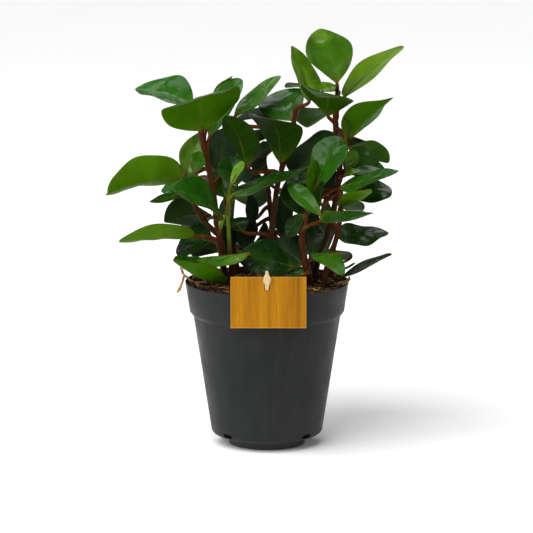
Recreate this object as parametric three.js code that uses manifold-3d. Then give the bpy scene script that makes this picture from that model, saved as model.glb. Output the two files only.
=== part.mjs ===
// A potted peperomia: a tapered nursery pot of potting soil, in which several leafy stems stand,
// with a small hanging card on a wooden stake at the front. Millimetres, +Z up. The origin is the
// centre of the foot's underside. The front, with the card, faces -Y.
import * as THREE from "three";
import { mergeVertices } from "three/addons/utils/BufferGeometryUtils.js";
import Module from "manifold-3d";

const wasm = await Module();
wasm.setup();

// ---- driving dimensions ----

// pot
const POT_HEIGHT = 121;
const RIM_RADIUS = 60; // outside, at the top
const RIM_ROUNDING = [0.4, 1.5]; // of its outer edge, inwards and down
const COLLAR_HEIGHT = 22; // the wide band below the rim
const COLLAR_LOW_RADIUS = 56.6;
const COLLAR_STEP = 3; // height of the slope under the collar
const WALL_TOP_RADIUS = 54; // just under that slope
const WALL_LOW_RADIUS = 41; // at the start of the rounded bottom corner
const WALL_LOW_HEIGHT = 12;
const CORNER_RADIUS = 4;
const FLOOR_HEIGHT = 7.4; // underside of the raised floor round the foot
const FOOT_RADIUS = 28;
const FOOT_FLARE = 1; // how much wider the foot is at the floor
const WALL = 1.3;
const POT_SIDES = 48;
const DRAIN_COUNT = 4;
const DRAIN_WIDTH = 8;
const DRAIN_HEIGHT = 3;
const DRAIN_DEPTH = 8; // inwards, through the rounded corner
const DRAIN_RISE = 0.2; // above the floor's upper side
const DRAIN_FIRST_ANGLE = Math.PI / 4;

// soil
const SOIL_TOP = 117.5; // at the wall
const SOIL_DOME = 2; // how much higher it is in the middle
const SOIL_RELIEF = 1.5; // height of its lumps
const SOIL_RINGS = 5;
const SOIL_SIDES = 24;
const CLEAR = 0.3; // gap between pieces that touch

// stems and leaves
const ROOT_DEPTH = 24;
const ROOT_RISE = 4; // a stem is still upright this far above the soil
const ROOT_HOLE_SIDES = 12;
const STEM_SIDES = 6;
const STEM_STEP = 15; // length of one straight stretch of a stem
const PETIOLE_SIDES = 4;
const PETIOLE_STEP = 16;
const PETIOLE_RADIUS = [1.6, 1.2];
const PETIOLE_SUNK = 2; // how far a stalk runs on into its blade
const PETIOLE_BOW = [0.35, 0.45]; // pull of the stem's and of the blade's direction on it
const BLADE_THICK = 1;
const BLADE_STATIONS = [0, 0.14, 0.37, 0.64, 0.88, 1];
const BLADE_ACROSS = [-1, 0, 1];
const BLADE_WIDEST = 0.55; // of the way to the tip
const BLADE_NECK = 0.75; // the higher, the narrower the blade starts
const BLADE_POINT = 0.66; // the higher, the sharper the tip
const BLADE_END_HALF = [1.2, 0.9]; // at the base and the tip
const CURVE_SAMPLES = 200;

// card and stake
const CARD_WIDTH = 54.4;
const CARD_HEIGHT = 37.5;
const CARD_THICK = 0.6;
const CARD_LOW = 98;
const CARD_BACK = -61;
const CARD_SIDE_SHIFT = 1;
const SLOT_WIDTH = 3.8;
const SLOT_LOW = 125.4;
const SLOT_HEIGHT = 4.4;
const STAKE_THICK = 1.4;
const STAKE_HALF_WIDTH = 1.4;
const STAKE_HEAD_HALF_WIDTH = 2.7;
const STAKE_TIP = -36.5; // lengths along the stake, from where it crosses the card
const STAKE_TIP_TOP = -30.5;
const STAKE_HEAD_LOW = 2;
const STAKE_HEAD_WIDEST = 7.5;
const STAKE_HEAD_SHOULDER = 15;
const STAKE_HEAD_TOP = 16.5;
const STAKE_LEAN = THREE.MathUtils.degToRad(33);
const STAKE_CROSSING = 127.5; // height at which it crosses the card
const STAKE_CURVE_STEPS = 4;

// The plant is drawn from the front. A point [u, v, y] is the one that lies y behind the pot's
// axis and shows, from an eye this far in front and this high, at u across and v up on the
// upright plane through the axis.
const EYE_DISTANCE = 3000;
const EYE_HEIGHT = 699;

// Each stem has its limbs, the first one rooted in the soil at root [x, y], and each limb has its
// leaves. A leaf is [height where its stalk leaves the limb, base [u, v, y], tip [u, v], length,
// width, tilt, cup, arch, form]. A negative length leans to the front. Tilt turns the upper face to
// the front, cup lifts both halves (degrees), and arch lifts the middle of the blade (mm). The form
// is given where the blade's widest place, neck or point isn't the usual one.
const STEMS = {
  leafy_stem_left: [
    {
      root: [-31, -8],
      radius: [2.8, 1.8],
      path: [[-33, 140, -8], [-36, 160, -9], [-39, 185, -9], [-42, 202, -8], [-46, 220, -7],
        [-48.5, 233, -7]],
      leaves: [
        [229, [-55, 252.6, 14], [-96, 262.8], 47, 38, 20, 18, 3, { widest: 0.42, neck: 0.55, point: 0.92 }],
        [230, [-47, 233, -8], [-43.5, 258.2], -46, 60, 17, -3, 10, { widest: 0.5, neck: 0.55, point: 0.5 }],
        [222, [-38, 250, 28], [-25.5, 272.5], -30, 16, 10, 10, 2, { widest: 0.45, point: 0.9 }],
        [208, [-42, 228, -4], [-19.5, 270.5], 52, 22, 24, 22, 3, { point: 0.5 }],
        [205, [-53, 201, -18], [-49, 217], 18, 12, 40, 10, 1],
        [166, [-33, 169, -18], [-68, 188.5], -46, 40, 35, 16, 4],
        [150, [-53, 154.5, -9], [-108.3, 150.6], -57, 40, -27, 14, 0.5,
          { widest: 0.38, neck: 0.45, point: 0.55 }],
        [147, [-40, 151, -6], [-65, 148], 30, 33, 40, 6, 2, { widest: 0.55, point: 0.42 }],
        [192, [-50, 198, 12], [-76, 190], 34, 26, 30, 6, 0, { point: 0.5 }],
        [190, [-34.5, 200, 8], [-31, 234], 38, 24, 0, 8, 2, { widest: 0.6, point: 0.6 }],
        [152, [-34.5, 158, -13.5], [-31, 170], 12.4, 7, 40, 10, 1, { widest: 0.7 }],
        [140, [-36, 143, 12], [-56, 146], 24, 22, 34, 6, 2],
      ],
    },
    {
      radius: [2.2, 1.6],
      path: [[-36.5, 156, -8.5], [-44, 163, -7], [-50, 172, -5], [-55, 182, -3], [-59, 192, -2]],
      leaves: [
        [190, [-61, 197.6, -3], [-116.7, 186.2], -62, 42, -48, 26, 4,
          { widest: 0.4, neck: 0.38, point: 0.36 }],
        [193, [-59, 200, 2], [-50, 230], 34, 21, 52, 18, 2, { widest: 0.45 }],
        [186, [-64, 186.5, -6], [-86, 180], -24, 14, 12, 6, -1.5, { point: 1.1 }],
        [168, [-41, 170, 2], [-75, 165], 42, 32, -45, 12, 3, { point: 0.8 }],
        [184, [-62, 188, 2], [-73, 181], 14, 10, 40, 6, 1],
      ],
    },
  ],
  leafy_stem_shoot: [
    {
      root: [-25, -20],
      radius: [2, 1.3],
      path: [[-27.5, 150, -20], [-28.5, 172, -20], [-27.5, 186, -20]],
      leaves: [
        [184, [-26.5, 192, -20], [-17, 209.5], 20, 9, 35, 12, 1, { widest: 0.72, neck: 0.6, point: 0.5 }],
        [178, [-22, 192, -8], [-28, 213.5], 24, 25, 20, 8, 2],
        [172, [-29, 183, -2], [-40, 203], 30, 24, 30, 10, 2],
        [128, [-31, 119, -18], [-68.5, 136.5], -48, 34, 8, 43, -3, { widest: 0.45, neck: 0.5 }],
        [134, [-13.5, 141.5, -36], [-55, 136.5], 46, 31, 13, -14, 0,
          { widest: 0.25, neck: 0.4, point: 0.9 }],
        [174, [-26, 184.5, -22], [31, 205.5], 62, 30, 6, 3, 0.5, { widest: 0.28, neck: 0.5, point: 0.9 }],
      ],
    },
  ],
  leafy_stem_centre: [
    {
      root: [1, 8],
      radius: [2.7, 1.6],
      path: [[2, 150, 7], [5, 170, 6], [7, 188, 7], [11, 205, 8], [15, 218, 8], [19, 236, 7],
        [21, 248, 6]],
      leaves: [
        [226, [-24, 242.5, 14], [9.5, 272.5], 46, 29, 7, 2, 1, { widest: 0.5, point: 0.7 }],
        [205, [10, 209, 0], [-3, 242.5], -52, 44, 8, 6, 12, { point: 0.5 }],
        [197, [-14.5, 206.5, -12], [-28, 243.5], -44, 31, 0, 12, 3],
        [236, [19, 240, 10], [5, 260], 40, 35, 25, 8, 2, { point: 0.5 }],
        [152, [-18, 158, 4], [-27, 166], 21, 22, 10, 8, 2],
        [246, [28.5, 253, 6], [18, 294.5], 46, 27, -22, 16, 2, { widest: 0.42, point: 0.95 }],
        [228, [12, 232, 22], [-6, 225], 40, 32, 0, 8, 4],
        [222, [6, 240, 16], [-22, 242], 34, 30, 10, 6, 3],
        [214, [5, 221, 16], [-13, 209], 24, 22, 34, 6, 2],
      ],
    },
  ],
  leafy_stem_front: [
    {
      root: [31, -12],
      radius: [2.8, 2],
      path: [[28, 135, -13], [25.5, 150, -14], [26, 166, -15]],
      leaves: [
        [162, [29, 169, -5], [22, 201], 36, 31, 30, 8, 2, { widest: 0.5, point: 0.5 }],
        [152, [27, 170, -17], [13.5, 154], 23, 15, 75, 6, 1],
        [130, [20, 131, -14], [-21, 137.5], -42, 38, 34, 8, 3],
        [136, [27, 133, -10], [3, 150], 32, 30, 40, 8, 2],
        [134, [33, 139, -6], [36, 170], 33, 15, 20, 12, 2],
        [128, [27, 126, -30], [11, 124], 22, 18, 20, 6, 2],
        [160, [39.5, 169.5, -31], [16, 193], 36, 14, 42, 10, 1, { widest: 0.6, point: 0.5 }],
      ],
    },
  ],
  leafy_stem_tall: [
    {
      root: [35, 10],
      radius: [3, 1.6],
      path: [[38, 140, 8], [43, 152, 6], [48, 170, 4], [51, 187, 2], [53, 202, 1], [51, 220, 2],
        [50, 238, 3], [51, 258, 4]],
      leaves: [
        [256, [51, 267.5, 4], [38.5, 307], 47, 37, 6, 6, 2, { neck: 0.85 }],
        [254, [51, 262, 18], [13.5, 264.5], 48, 28, -12, 6, 2],
        [250, [33.5, 257, -11], [32.5, 278], 24, 15, 30, 8, 1],
        [243, [56.2, 257.8, 0], [98, 294.4], -58, 38, -13, 6, 2, { widest: 0.5, neck: 0.45, point: 0.55 }],
        [236, [44, 243.6, -2], [39, 257], -46, 40, 13, 4, 9, { point: 0.55 }],
        [232, [60, 226.8, -4], [91.5, 257.2], -50, 34, -16, 24, 2, { widest: 0.33, neck: 0.5, point: 1.2 }],
        [222, [58, 226, -12], [56.5, 242], -18, 11, 60, 10, 1, { point: 0.9 }],
        [188, [34, 187, -14], [54, 227.5], 46, 29, 30, 8, 3, { widest: 0.66, neck: 0.9, point: 0.42 }],
        [212, [57, 224.5, 12], [14, 209], 50, 38, 34, 0, 3, { widest: 0.5, point: 0.45 }],
        [206, [60, 220.8, 16], [88.5, 209], 41, 21, -30, 10, 4, { neck: 0.5, point: 0.6 }],
        [198, [57, 201, -3], [82, 209], 36, 33, 36, 18, 2],
        [200, [57, 203, 0], [64.5, 217.5], 19, 12, 35, 10, 1],
        [184, [38.5, 178, -13], [39, 195], -19, 13, 50, 10, 1],
        [242, [45, 249, 20], [29, 235], 44, 34, 0, 8, 4],
        [224, [58, 229, 20], [69, 211], 44, 34, 14, 8, 4],
        [252, [49.5, 265.5, -2], [39, 262], -15, 12, 30, 6, 1],
        [188, [34.5, 184, -16], [35, 210.5], -26.6, 16, 40, 8, 2, { point: 0.5 }],
        [196, [56, 199, -10], [68.5, 203], 15, 8, 20, 10, 1],
      ],
    },
  ],
  leafy_stem_low: [
    {
      root: [42, -12],
      radius: [2.4, 1.6],
      path: [[46, 138, -12], [50, 150, -12], [53, 164, -12], [54, 178, -12], [54, 190, -12]],
      leaves: [
        [184, [53, 190.5, -14], [96, 203], -48, 32, 17, 2, 0, { widest: 0.35, point: 1.0 }],
        [170, [53, 176, -16], [76, 189.5], -38, 20, -12, 4, 1, { point: 1.0 }],
        [176, [58, 183, -2], [90.5, 189.8], 36, 30, 24, 0, 2, { widest: 0.6, point: 0.6 }],
        [160, [42, 172.5, -27], [78.5, 171.8], -42, 38, 6, -13, 0,
          { widest: 0.27, neck: 0.45, point: 1.5 }],
        [146, [52.3, 153.6, -4], [89, 157], 38, 40, 13, 0, 1.2, { widest: 0.33, neck: 0.35, point: 0.85 }],
        [142, [53, 142, -22], [34, 137.2], -28, 34, 22, -26, 0, { widest: 0.3, neck: 0.5, point: 1.0 }],
        [132, [51, 121.5, -2], [91, 141], -48, 26, 12, 4, 1, { widest: 0.5, neck: 0.9 }],
      ],
    },
  ],
  leafy_stem_back_left: [
    {
      root: [-22, 32],
      radius: [2.6, 1.6],
      path: [[-26, 150, 32], [-30, 180, 33], [-32, 203, 34]],
      leaves: [
        [191, [-39, 199, 44], [-62, 178], 46, 36, 10, 8, 4],
        [201, [-31, 212, 42], [-27, 195], 42, 38, 0, 10, 5],
        [184, [-22, 190, 44], [-6, 176], 44, 34, -12, 6, 4],
        [164, [-37, 168, 40], [-53, 159], 46, 36, 12, 6, 4],
        [148, [-23, 151, 44], [-12, 135], 40, 36, 0, 6, 4],
        [134, [-33, 138, 40], [-52, 129], 40, 32, 8, 6, 3],
        [138, [-30, 141, 20], [-29, 168], 28, 18, 50, 6, 2],
        [140, [-15, 143, 20], [-18, 168], 28, 14, 50, 6, 2],
        [150, [-27.1, 160, 26], [-27.1, 188], 31, 18, 50, 6, 2],
      ],
    },
  ],
  leafy_stem_back_centre: [
    {
      root: [6, 38],
      radius: [2.6, 1.6],
      path: [[4, 160, 39], [0, 195, 40], [-2, 212, 40]],
      leaves: [
        [207, [-9, 217, 46], [-24, 206], 42, 30, 10, 8, 4],
        [209, [2, 217, 47], [12, 221], 38, 30, -15, 8, 3],
        [186, [6, 190, 48], [22, 178], 44, 34, 8, 6, 4],
        [168, [-8, 167.5, 48], [-24, 160], 34, 24, 0, 8, 3],
        [146, [10, 150, 46], [22, 138], 42, 34, 5, 6, 4],
        [150, [14, 152, 30], [12, 187], 38, 21, 50, 6, 2],
        [160, [-12, 160, 33], [-11.4, 185], 27, 14, 50, 6, 1, { point: 0.5 }],
        [190, [-3, 195, 30], [-20, 199], 20, 15, 30, 6, 1],
        [150, [-11.2, 147.6, 26.5], [-10.5, 168], 22.5, 10, 50, 6, 1, { widest: 0.7, point: 0.5 }],
        [148, [-1.5, 148, 26], [-2, 164.5], 18, 10, 50, 6, 1],
        [196, [-9.3, 200.4, 27.4], [-7, 216], 20, 13, 50, 6, 1],
      ],
    },
  ],
  leafy_stem_back_right: [
    {
      root: [32, 34],
      radius: [2.6, 1.6],
      path: [[34, 150, 34], [38, 185, 35], [40, 206, 36]],
      leaves: [
        [203, [47, 212, 40], [68, 204], 46, 34, 12, 8, 3],
        [200, [34, 211, 44], [28, 193], 40, 32, 0, 10, 5],
        [178, [45, 182, 42], [62, 172], 46, 34, 10, 6, 4],
        [156, [35, 161, 44], [33, 147], 38, 28, -8, 6, 4],
        [138, [40, 144, 43], [50, 137], 42, 34, 14, 6, 4],
        [148, [34, 152, 24], [33, 190], 40, 17, 50, 6, 2],
        [136, [42, 140, 24], [43, 182], 44, 17, 50, 6, 2],
        [176, [50, 182, 26], [47, 203], 24, 18, 50, 6, 1],
      ],
    },
  ],
};

// ---- finishes ----

const POT_FINISH = { color: 0x35393a, roughness: 0.55, metalness: 0 };
const SOIL_FINISH = { color: 0x2c1c12, roughness: 1, metalness: 0 };
const CARD_FINISH = { color: 0xc08a26, roughness: 0.6, metalness: 0 };
const STAKE_FINISH = { color: 0xe0c9a0, roughness: 0.75, metalness: 0 };
const PLANT_FINISH = { color: 0x2f6a1c, roughness: 0.35, metalness: 0 };

// ---- solids ----

function closedSolid(geometry) {
  geometry.deleteAttribute("normal");
  geometry.deleteAttribute("uv");
  const merged = mergeVertices(geometry);
  const corners = merged.index.array;
  const faces = [];
  for (let i = 0; i < corners.length; i += 3) {
    const [a, b, c] = corners.slice(i, i + 3);
    if (a !== b && b !== c && c !== a) {
      faces.push(a, b, c);
    }
  }
  return new wasm.Manifold(new wasm.Mesh({
    numProp: 3,
    vertProperties: Float32Array.from(merged.attributes.position.array),
    triVerts: Uint32Array.from(faces),
  }));
}

// The largest shell of a joined body, with the small hollows between crossing leaves filled.
function wholeBody(solid) {
  const shells = solid.decompose();
  return shells.reduce((best, shell) => (shell.volume() > best.volume() ? shell : best));
}

function geometryOf(solid) {
  const mesh = solid.getMesh();
  const geometry = new THREE.BufferGeometry();
  geometry.setAttribute("position", new THREE.BufferAttribute(mesh.vertProperties, 3));
  geometry.setIndex(new THREE.BufferAttribute(mesh.triVerts, 1));
  geometry.computeVertexNormals();
  return geometry;
}

function piece(name, solid, finish) {
  const mesh = new THREE.Mesh(geometryOf(solid), new THREE.MeshStandardMaterial(finish));
  mesh.name = name;
  return mesh;
}

// A closed body from rows of points, each row a closed ring, with a flat end at both ends.
function ringBody(rings) {
  const count = rings[0].length;
  const points = rings.flat();
  const faces = [];
  for (let i = 0; i + 1 < rings.length; i += 1) {
    for (let j = 0; j < count; j += 1) {
      const here = i * count + j;
      const next = i * count + ((j + 1) % count);
      faces.push(here, next, next + count, here, next + count, here + count);
    }
  }
  const last = (rings.length - 1) * count;
  for (let j = 1; j + 1 < count; j += 1) {
    faces.push(0, j + 1, j, last, last + j, last + j + 1);
  }
  const geometry = new THREE.BufferGeometry().setFromPoints(points);
  geometry.setIndex(faces);
  return closedSolid(geometry);
}

function limb(curve, radii, sides, steps) {
  const frames = curve.computeFrenetFrames(steps, false);
  const rings = [];
  for (let i = 0; i <= steps; i += 1) {
    const centre = curve.getPointAt(i / steps);
    const radius = THREE.MathUtils.lerp(radii[0], radii[1], i / steps);
    const ring = [];
    for (let j = 0; j < sides; j += 1) {
      const angle = (2 * Math.PI * j) / sides;
      ring.push(centre.clone()
        .addScaledVector(frames.normals[i], radius * Math.cos(angle))
        .addScaledVector(frames.binormals[i], radius * Math.sin(angle)));
    }
    rings.push(ring);
  }
  return ringBody(rings);
}

// ---- plant ----

function seen([u, v, y]) {
  const reach = 1 + y / EYE_DISTANCE;
  return new THREE.Vector3(u * reach, y, EYE_HEIGHT + (v - EYE_HEIGHT) * reach);
}

// Half the blade's width, from its base at 0 to its tip at 1.
function bladeHalf(along, width, form) {
  const { widest = BLADE_WIDEST, neck = BLADE_NECK, point = BLADE_POINT } = form;
  const quarter = Math.PI / 2;
  const below = Math.sin(quarter * Math.min(along / widest, 1)) ** neck;
  const beyond = Math.max((along - widest) / (1 - widest), 0);
  const above = Math.max(Math.cos(quarter * beyond), 0) ** point;
  const least = THREE.MathUtils.lerp(...BLADE_END_HALF, along);
  return Math.hypot((width / 2) * below * above, least);
}

// The blade's own directions: along it, up from its upper face, and across it.
function leafFrame(base, tipSeen, length, tilt) {
  const acrossView = Math.hypot(tipSeen[0] - base[0], tipSeen[1] - base[1]);
  const depth = Math.sign(length) * Math.sqrt(Math.max(length ** 2 - acrossView ** 2, 0));
  const from = seen(base);
  const along = seen([...tipSeen, base[2] + depth]).sub(from);
  const size = along.length();
  along.normalize();
  const up = new THREE.Vector3(0, 0, 1).addScaledVector(along, -along.z).normalize();
  const side = new THREE.Vector3().crossVectors(along, up);
  const turn = THREE.MathUtils.degToRad(tilt);
  const lean = along.x < 0 ? -1 : 1;
  const face = up.clone().multiplyScalar(Math.cos(turn))
    .addScaledVector(side, lean * Math.sin(turn));
  const across = new THREE.Vector3().crossVectors(along, face);
  return { from, along, face, across, size };
}

function blade(frame, width, cup, arch, form = {}) {
  const rise = Math.sin(THREE.MathUtils.degToRad(cup));
  const spread = Math.cos(THREE.MathUtils.degToRad(cup));
  const rings = BLADE_STATIONS.map((station) => {
    const half = bladeHalf(station, width, form);
    const spine = frame.from.clone()
      .addScaledVector(frame.along, frame.size * station)
      .addScaledVector(frame.face, arch * Math.sin(Math.PI * station));
    const upper = BLADE_ACROSS.map((t) => spine.clone()
      .addScaledVector(frame.across, half * spread * t)
      .addScaledVector(frame.face, half * rise * Math.abs(t)));
    const lower = upper.map((p) => p.clone().addScaledVector(frame.face, -BLADE_THICK));
    return [upper, lower];
  });
  return sheetBody(rings);
}

// A closed thin body from rows of upper and lower points, split alike on both faces.
function sheetBody(rows) {
  const wide = rows[0][0].length;
  const points = rows.flat(2);
  const upper = (i, j) => 2 * wide * i + j;
  const lower = (i, j) => upper(i, j) + wide;
  const faces = [];
  const last = rows.length - 1;
  for (let i = 0; i < last; i += 1) {
    for (let j = 0; j + 1 < wide; j += 1) {
      faces.push(upper(i, j), upper(i, j + 1), upper(i + 1, j + 1));
      faces.push(upper(i, j), upper(i + 1, j + 1), upper(i + 1, j));
      faces.push(lower(i, j), lower(i + 1, j + 1), lower(i, j + 1));
      faces.push(lower(i, j), lower(i + 1, j), lower(i + 1, j + 1));
    }
    faces.push(upper(i, 0), upper(i + 1, 0), lower(i + 1, 0));
    faces.push(upper(i, 0), lower(i + 1, 0), lower(i, 0));
    faces.push(upper(i, wide - 1), lower(i + 1, wide - 1), upper(i + 1, wide - 1));
    faces.push(upper(i, wide - 1), lower(i, wide - 1), lower(i + 1, wide - 1));
  }
  for (let j = 0; j + 1 < wide; j += 1) {
    faces.push(upper(0, j), lower(0, j), upper(0, j + 1));
    faces.push(upper(0, j + 1), lower(0, j), lower(0, j + 1));
    faces.push(upper(last, j), upper(last, j + 1), lower(last, j));
    faces.push(upper(last, j + 1), lower(last, j + 1), lower(last, j));
  }
  const geometry = new THREE.BufferGeometry().setFromPoints(points);
  geometry.setIndex(faces);
  return closedSolid(geometry);
}

function pointAtHeight(curve, height) {
  const points = curve.getSpacedPoints(CURVE_SAMPLES);
  const misses = points.map((point) => Math.abs(point.z - height));
  const nearest = misses.indexOf(Math.min(...misses));
  return { point: points[nearest], tangent: curve.getTangentAt(nearest / CURVE_SAMPLES) };
}

function petiole(curve, height, frame, arch) {
  const { point, tangent } = pointAtHeight(curve, height);
  const inward = frame.along.clone().multiplyScalar(frame.size)
    .addScaledVector(frame.face, arch * Math.PI).normalize();
  const end = frame.from.clone().addScaledVector(frame.face, -BLADE_THICK / 2)
    .addScaledVector(inward, PETIOLE_SUNK);
  const reach = end.distanceTo(point);
  const away = end.clone().sub(point).normalize().add(tangent).normalize();
  const stalk = new THREE.CubicBezierCurve3(
    point,
    point.clone().addScaledVector(away, reach * PETIOLE_BOW[0]),
    end.clone().addScaledVector(inward, -reach * PETIOLE_BOW[1]),
    end,
  );
  return limb(stalk, PETIOLE_RADIUS, PETIOLE_SIDES, Math.ceil(reach / PETIOLE_STEP));
}

function limbCurve({ root, path }) {
  const points = path.map(seen);
  if (root) {
    points.unshift(
      new THREE.Vector3(...root, SOIL_TOP - ROOT_DEPTH),
      new THREE.Vector3(...root, SOIL_TOP - ROOT_DEPTH / 2),
      new THREE.Vector3(...root, SOIL_TOP + ROOT_RISE),
    );
  }
  return new THREE.CatmullRomCurve3(points);
}

function leafyStem(limbs) {
  const bodies = [];
  for (const { root, path, radius, leaves } of limbs) {
    const curve = limbCurve({ root, path });
    bodies.push(limb(curve, radius, STEM_SIDES, Math.round(curve.getLength() / STEM_STEP)));
    for (const [height, base, tip, length, width, tilt, cup, arch, form] of leaves) {
      const frame = leafFrame(base, tip, length, tilt);
      bodies.push(petiole(curve, height, frame, arch));
      bodies.push(blade(frame, width, cup, arch, form));
    }
  }
  return wholeBody(wasm.Manifold.union(bodies));
}

// ---- pot, soil, card and stake ----

function lathe(profile, sides) {
  const points = profile.map(([r, z]) => new THREE.Vector2(r, z));
  const geometry = new THREE.LatheGeometry(points, sides);
  geometry.rotateX(Math.PI / 2);
  return closedSolid(geometry);
}

const COLLAR_LOW = POT_HEIGHT - COLLAR_HEIGHT;
const WALL_TOP = COLLAR_LOW - COLLAR_STEP;

// Points of the rounded bottom corner, from the floor up to the wall.
function potCorner() {
  const inner = WALL_LOW_RADIUS - CORNER_RADIUS;
  return [0, 1, 2].map((step) => {
    const turn = (step * Math.PI) / 4;
    return [
      inner + CORNER_RADIUS * Math.sin(turn),
      WALL_LOW_HEIGHT - (WALL_LOW_HEIGHT - FLOOR_HEIGHT) * Math.cos(turn),
    ];
  });
}

function pot() {
  const floorTop = FLOOR_HEIGHT + WALL;
  const outside = [
    [0, 0],
    [FOOT_RADIUS, 0],
    [FOOT_RADIUS + FOOT_FLARE, FLOOR_HEIGHT],
    ...potCorner(),
    [WALL_TOP_RADIUS, WALL_TOP],
    [COLLAR_LOW_RADIUS, COLLAR_LOW],
    [RIM_RADIUS, POT_HEIGHT - RIM_ROUNDING[1]],
    [RIM_RADIUS - RIM_ROUNDING[0], POT_HEIGHT],
  ];
  const inside = [
    [RIM_RADIUS - WALL, POT_HEIGHT],
    [COLLAR_LOW_RADIUS - WALL, COLLAR_LOW],
    [WALL_TOP_RADIUS - WALL, WALL_TOP],
    [WALL_LOW_RADIUS - WALL, WALL_LOW_HEIGHT],
    [WALL_LOW_RADIUS - CORNER_RADIUS, floorTop],
    [FOOT_RADIUS - WALL, floorTop],
    [FOOT_RADIUS - WALL, WALL],
    [0, WALL],
  ];
  let body = lathe([...outside, ...inside], POT_SIDES);
  for (let i = 0; i < DRAIN_COUNT; i += 1) {
    const hole = new THREE.BoxGeometry(DRAIN_DEPTH, DRAIN_WIDTH, DRAIN_HEIGHT);
    hole.translate(WALL_LOW_RADIUS, 0, floorTop + DRAIN_RISE + DRAIN_HEIGHT / 2);
    hole.rotateZ(DRAIN_FIRST_ANGLE + (2 * Math.PI * i) / DRAIN_COUNT);
    body = body.subtract(closedSolid(hole));
  }
  return body;
}

function ring(radius, heightAt) {
  return Array.from({ length: SOIL_SIDES }, (_, i) => {
    const angle = (2 * Math.PI * i) / SOIL_SIDES;
    const x = radius * Math.cos(angle);
    const y = radius * Math.sin(angle);
    return new THREE.Vector3(x, y, heightAt(x, y));
  });
}

// A low dome, with a few smooth waves that stand for the lumps of the soil.
function soilHeight(x, y) {
  const dome = SOIL_DOME * (1 - (x ** 2 + y ** 2) / RIM_RADIUS ** 2);
  const lumps = Math.sin(x * 0.31 + 1) * Math.cos(y * 0.27) + Math.sin(x * 0.17 - y * 0.23 + 2);
  return SOIL_TOP + dome + (SOIL_RELIEF / 2) * lumps;
}

function soil(roots, stakeHole) {
  const inner = (outer) => outer - WALL - CLEAR;
  const floorTop = FLOOR_HEIGHT + WALL + CLEAR;
  const collarRise = (SOIL_TOP - COLLAR_LOW) / COLLAR_HEIGHT;
  const topRadius = inner(THREE.MathUtils.lerp(COLLAR_LOW_RADIUS, RIM_RADIUS, collarRise)) - CLEAR;
  const sides = [
    [inner(FOOT_RADIUS), WALL + CLEAR],
    [inner(FOOT_RADIUS), floorTop],
    [WALL_LOW_RADIUS - CORNER_RADIUS - CLEAR, floorTop],
    [inner(WALL_LOW_RADIUS), WALL_LOW_HEIGHT + CLEAR],
    [inner(WALL_TOP_RADIUS), WALL_TOP + CLEAR],
    [inner(COLLAR_LOW_RADIUS), COLLAR_LOW + CLEAR],
  ];
  const rings = sides.map(([radius, z]) => ring(radius, () => z));
  for (let i = 0; i < SOIL_RINGS; i += 1) {
    rings.push(ring(topRadius * (1 - i / SOIL_RINGS), soilHeight));
  }
  let body = ringBody(rings);
  for (const { root, radius } of roots) {
    const wide = radius + CLEAR;
    const deep = ROOT_DEPTH + CLEAR;
    const hole = new THREE.CylinderGeometry(wide, wide, 2 * deep, ROOT_HOLE_SIDES);
    hole.rotateX(Math.PI / 2);
    hole.translate(root[0], root[1], SOIL_TOP);
    body = body.subtract(closedSolid(hole));
  }
  return body.subtract(stakeHole);
}

// Outline of the stake: its middle line along +Y, and 0 where it crosses the card.
function stakeShape(grow) {
  const half = STAKE_HALF_WIDTH + grow;
  const head = STAKE_HEAD_HALF_WIDTH + grow;
  const neck = half * 0.8;
  const swell = (STAKE_HEAD_LOW + STAKE_HEAD_WIDEST) / 2;
  const taper = (STAKE_HEAD_WIDEST + STAKE_HEAD_SHOULDER) / 2;
  const shape = new THREE.Shape();
  shape.moveTo(0, STAKE_TIP - grow);
  shape.lineTo(half, STAKE_TIP_TOP - grow);
  shape.lineTo(half, STAKE_HEAD_LOW);
  shape.bezierCurveTo(half, swell, head, swell, head, STAKE_HEAD_WIDEST);
  shape.bezierCurveTo(head, taper, half, taper, neck, STAKE_HEAD_SHOULDER);
  shape.quadraticCurveTo(neck, STAKE_HEAD_TOP, 0, STAKE_HEAD_TOP);
  shape.quadraticCurveTo(-neck, STAKE_HEAD_TOP, -neck, STAKE_HEAD_SHOULDER);
  shape.bezierCurveTo(-half, taper, -head, taper, -head, STAKE_HEAD_WIDEST);
  shape.bezierCurveTo(-head, swell, -half, swell, -half, STAKE_HEAD_LOW);
  shape.lineTo(-half, STAKE_TIP_TOP - grow);
  shape.closePath();
  return shape;
}

const STAKE_PLACE = new THREE.Matrix4()
  .makeTranslation(0, CARD_BACK - CARD_THICK / 2, STAKE_CROSSING)
  .multiply(new THREE.Matrix4().makeRotationX(Math.PI / 2 + STAKE_LEAN));

function stake(grow) {
  const depth = STAKE_THICK + 2 * grow;
  const geometry = new THREE.ExtrudeGeometry(stakeShape(grow), {
    depth,
    bevelEnabled: false,
    curveSegments: STAKE_CURVE_STEPS,
  });
  geometry.translate(0, 0, -depth / 2);
  geometry.applyMatrix4(STAKE_PLACE);
  return closedSolid(geometry);
}

function card() {
  const sheet = new THREE.BoxGeometry(CARD_WIDTH, CARD_THICK, CARD_HEIGHT);
  sheet.translate(CARD_SIDE_SHIFT, CARD_BACK - CARD_THICK / 2, CARD_LOW + CARD_HEIGHT / 2);
  const slot = new THREE.BoxGeometry(SLOT_WIDTH, CARD_THICK * 3, SLOT_HEIGHT);
  slot.translate(0, CARD_BACK - CARD_THICK / 2, SLOT_LOW + SLOT_HEIGHT / 2);
  return closedSolid(sheet).subtract(closedSolid(slot));
}

// ---- assembly ----

const roots = Object.values(STEMS)
  .map(([first]) => ({ root: first.root, radius: first.radius[0] }));

const plant = new THREE.Group();
for (const [name, limbs] of Object.entries(STEMS)) {
  plant.add(piece(name, leafyStem(limbs), PLANT_FINISH));
}

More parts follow.
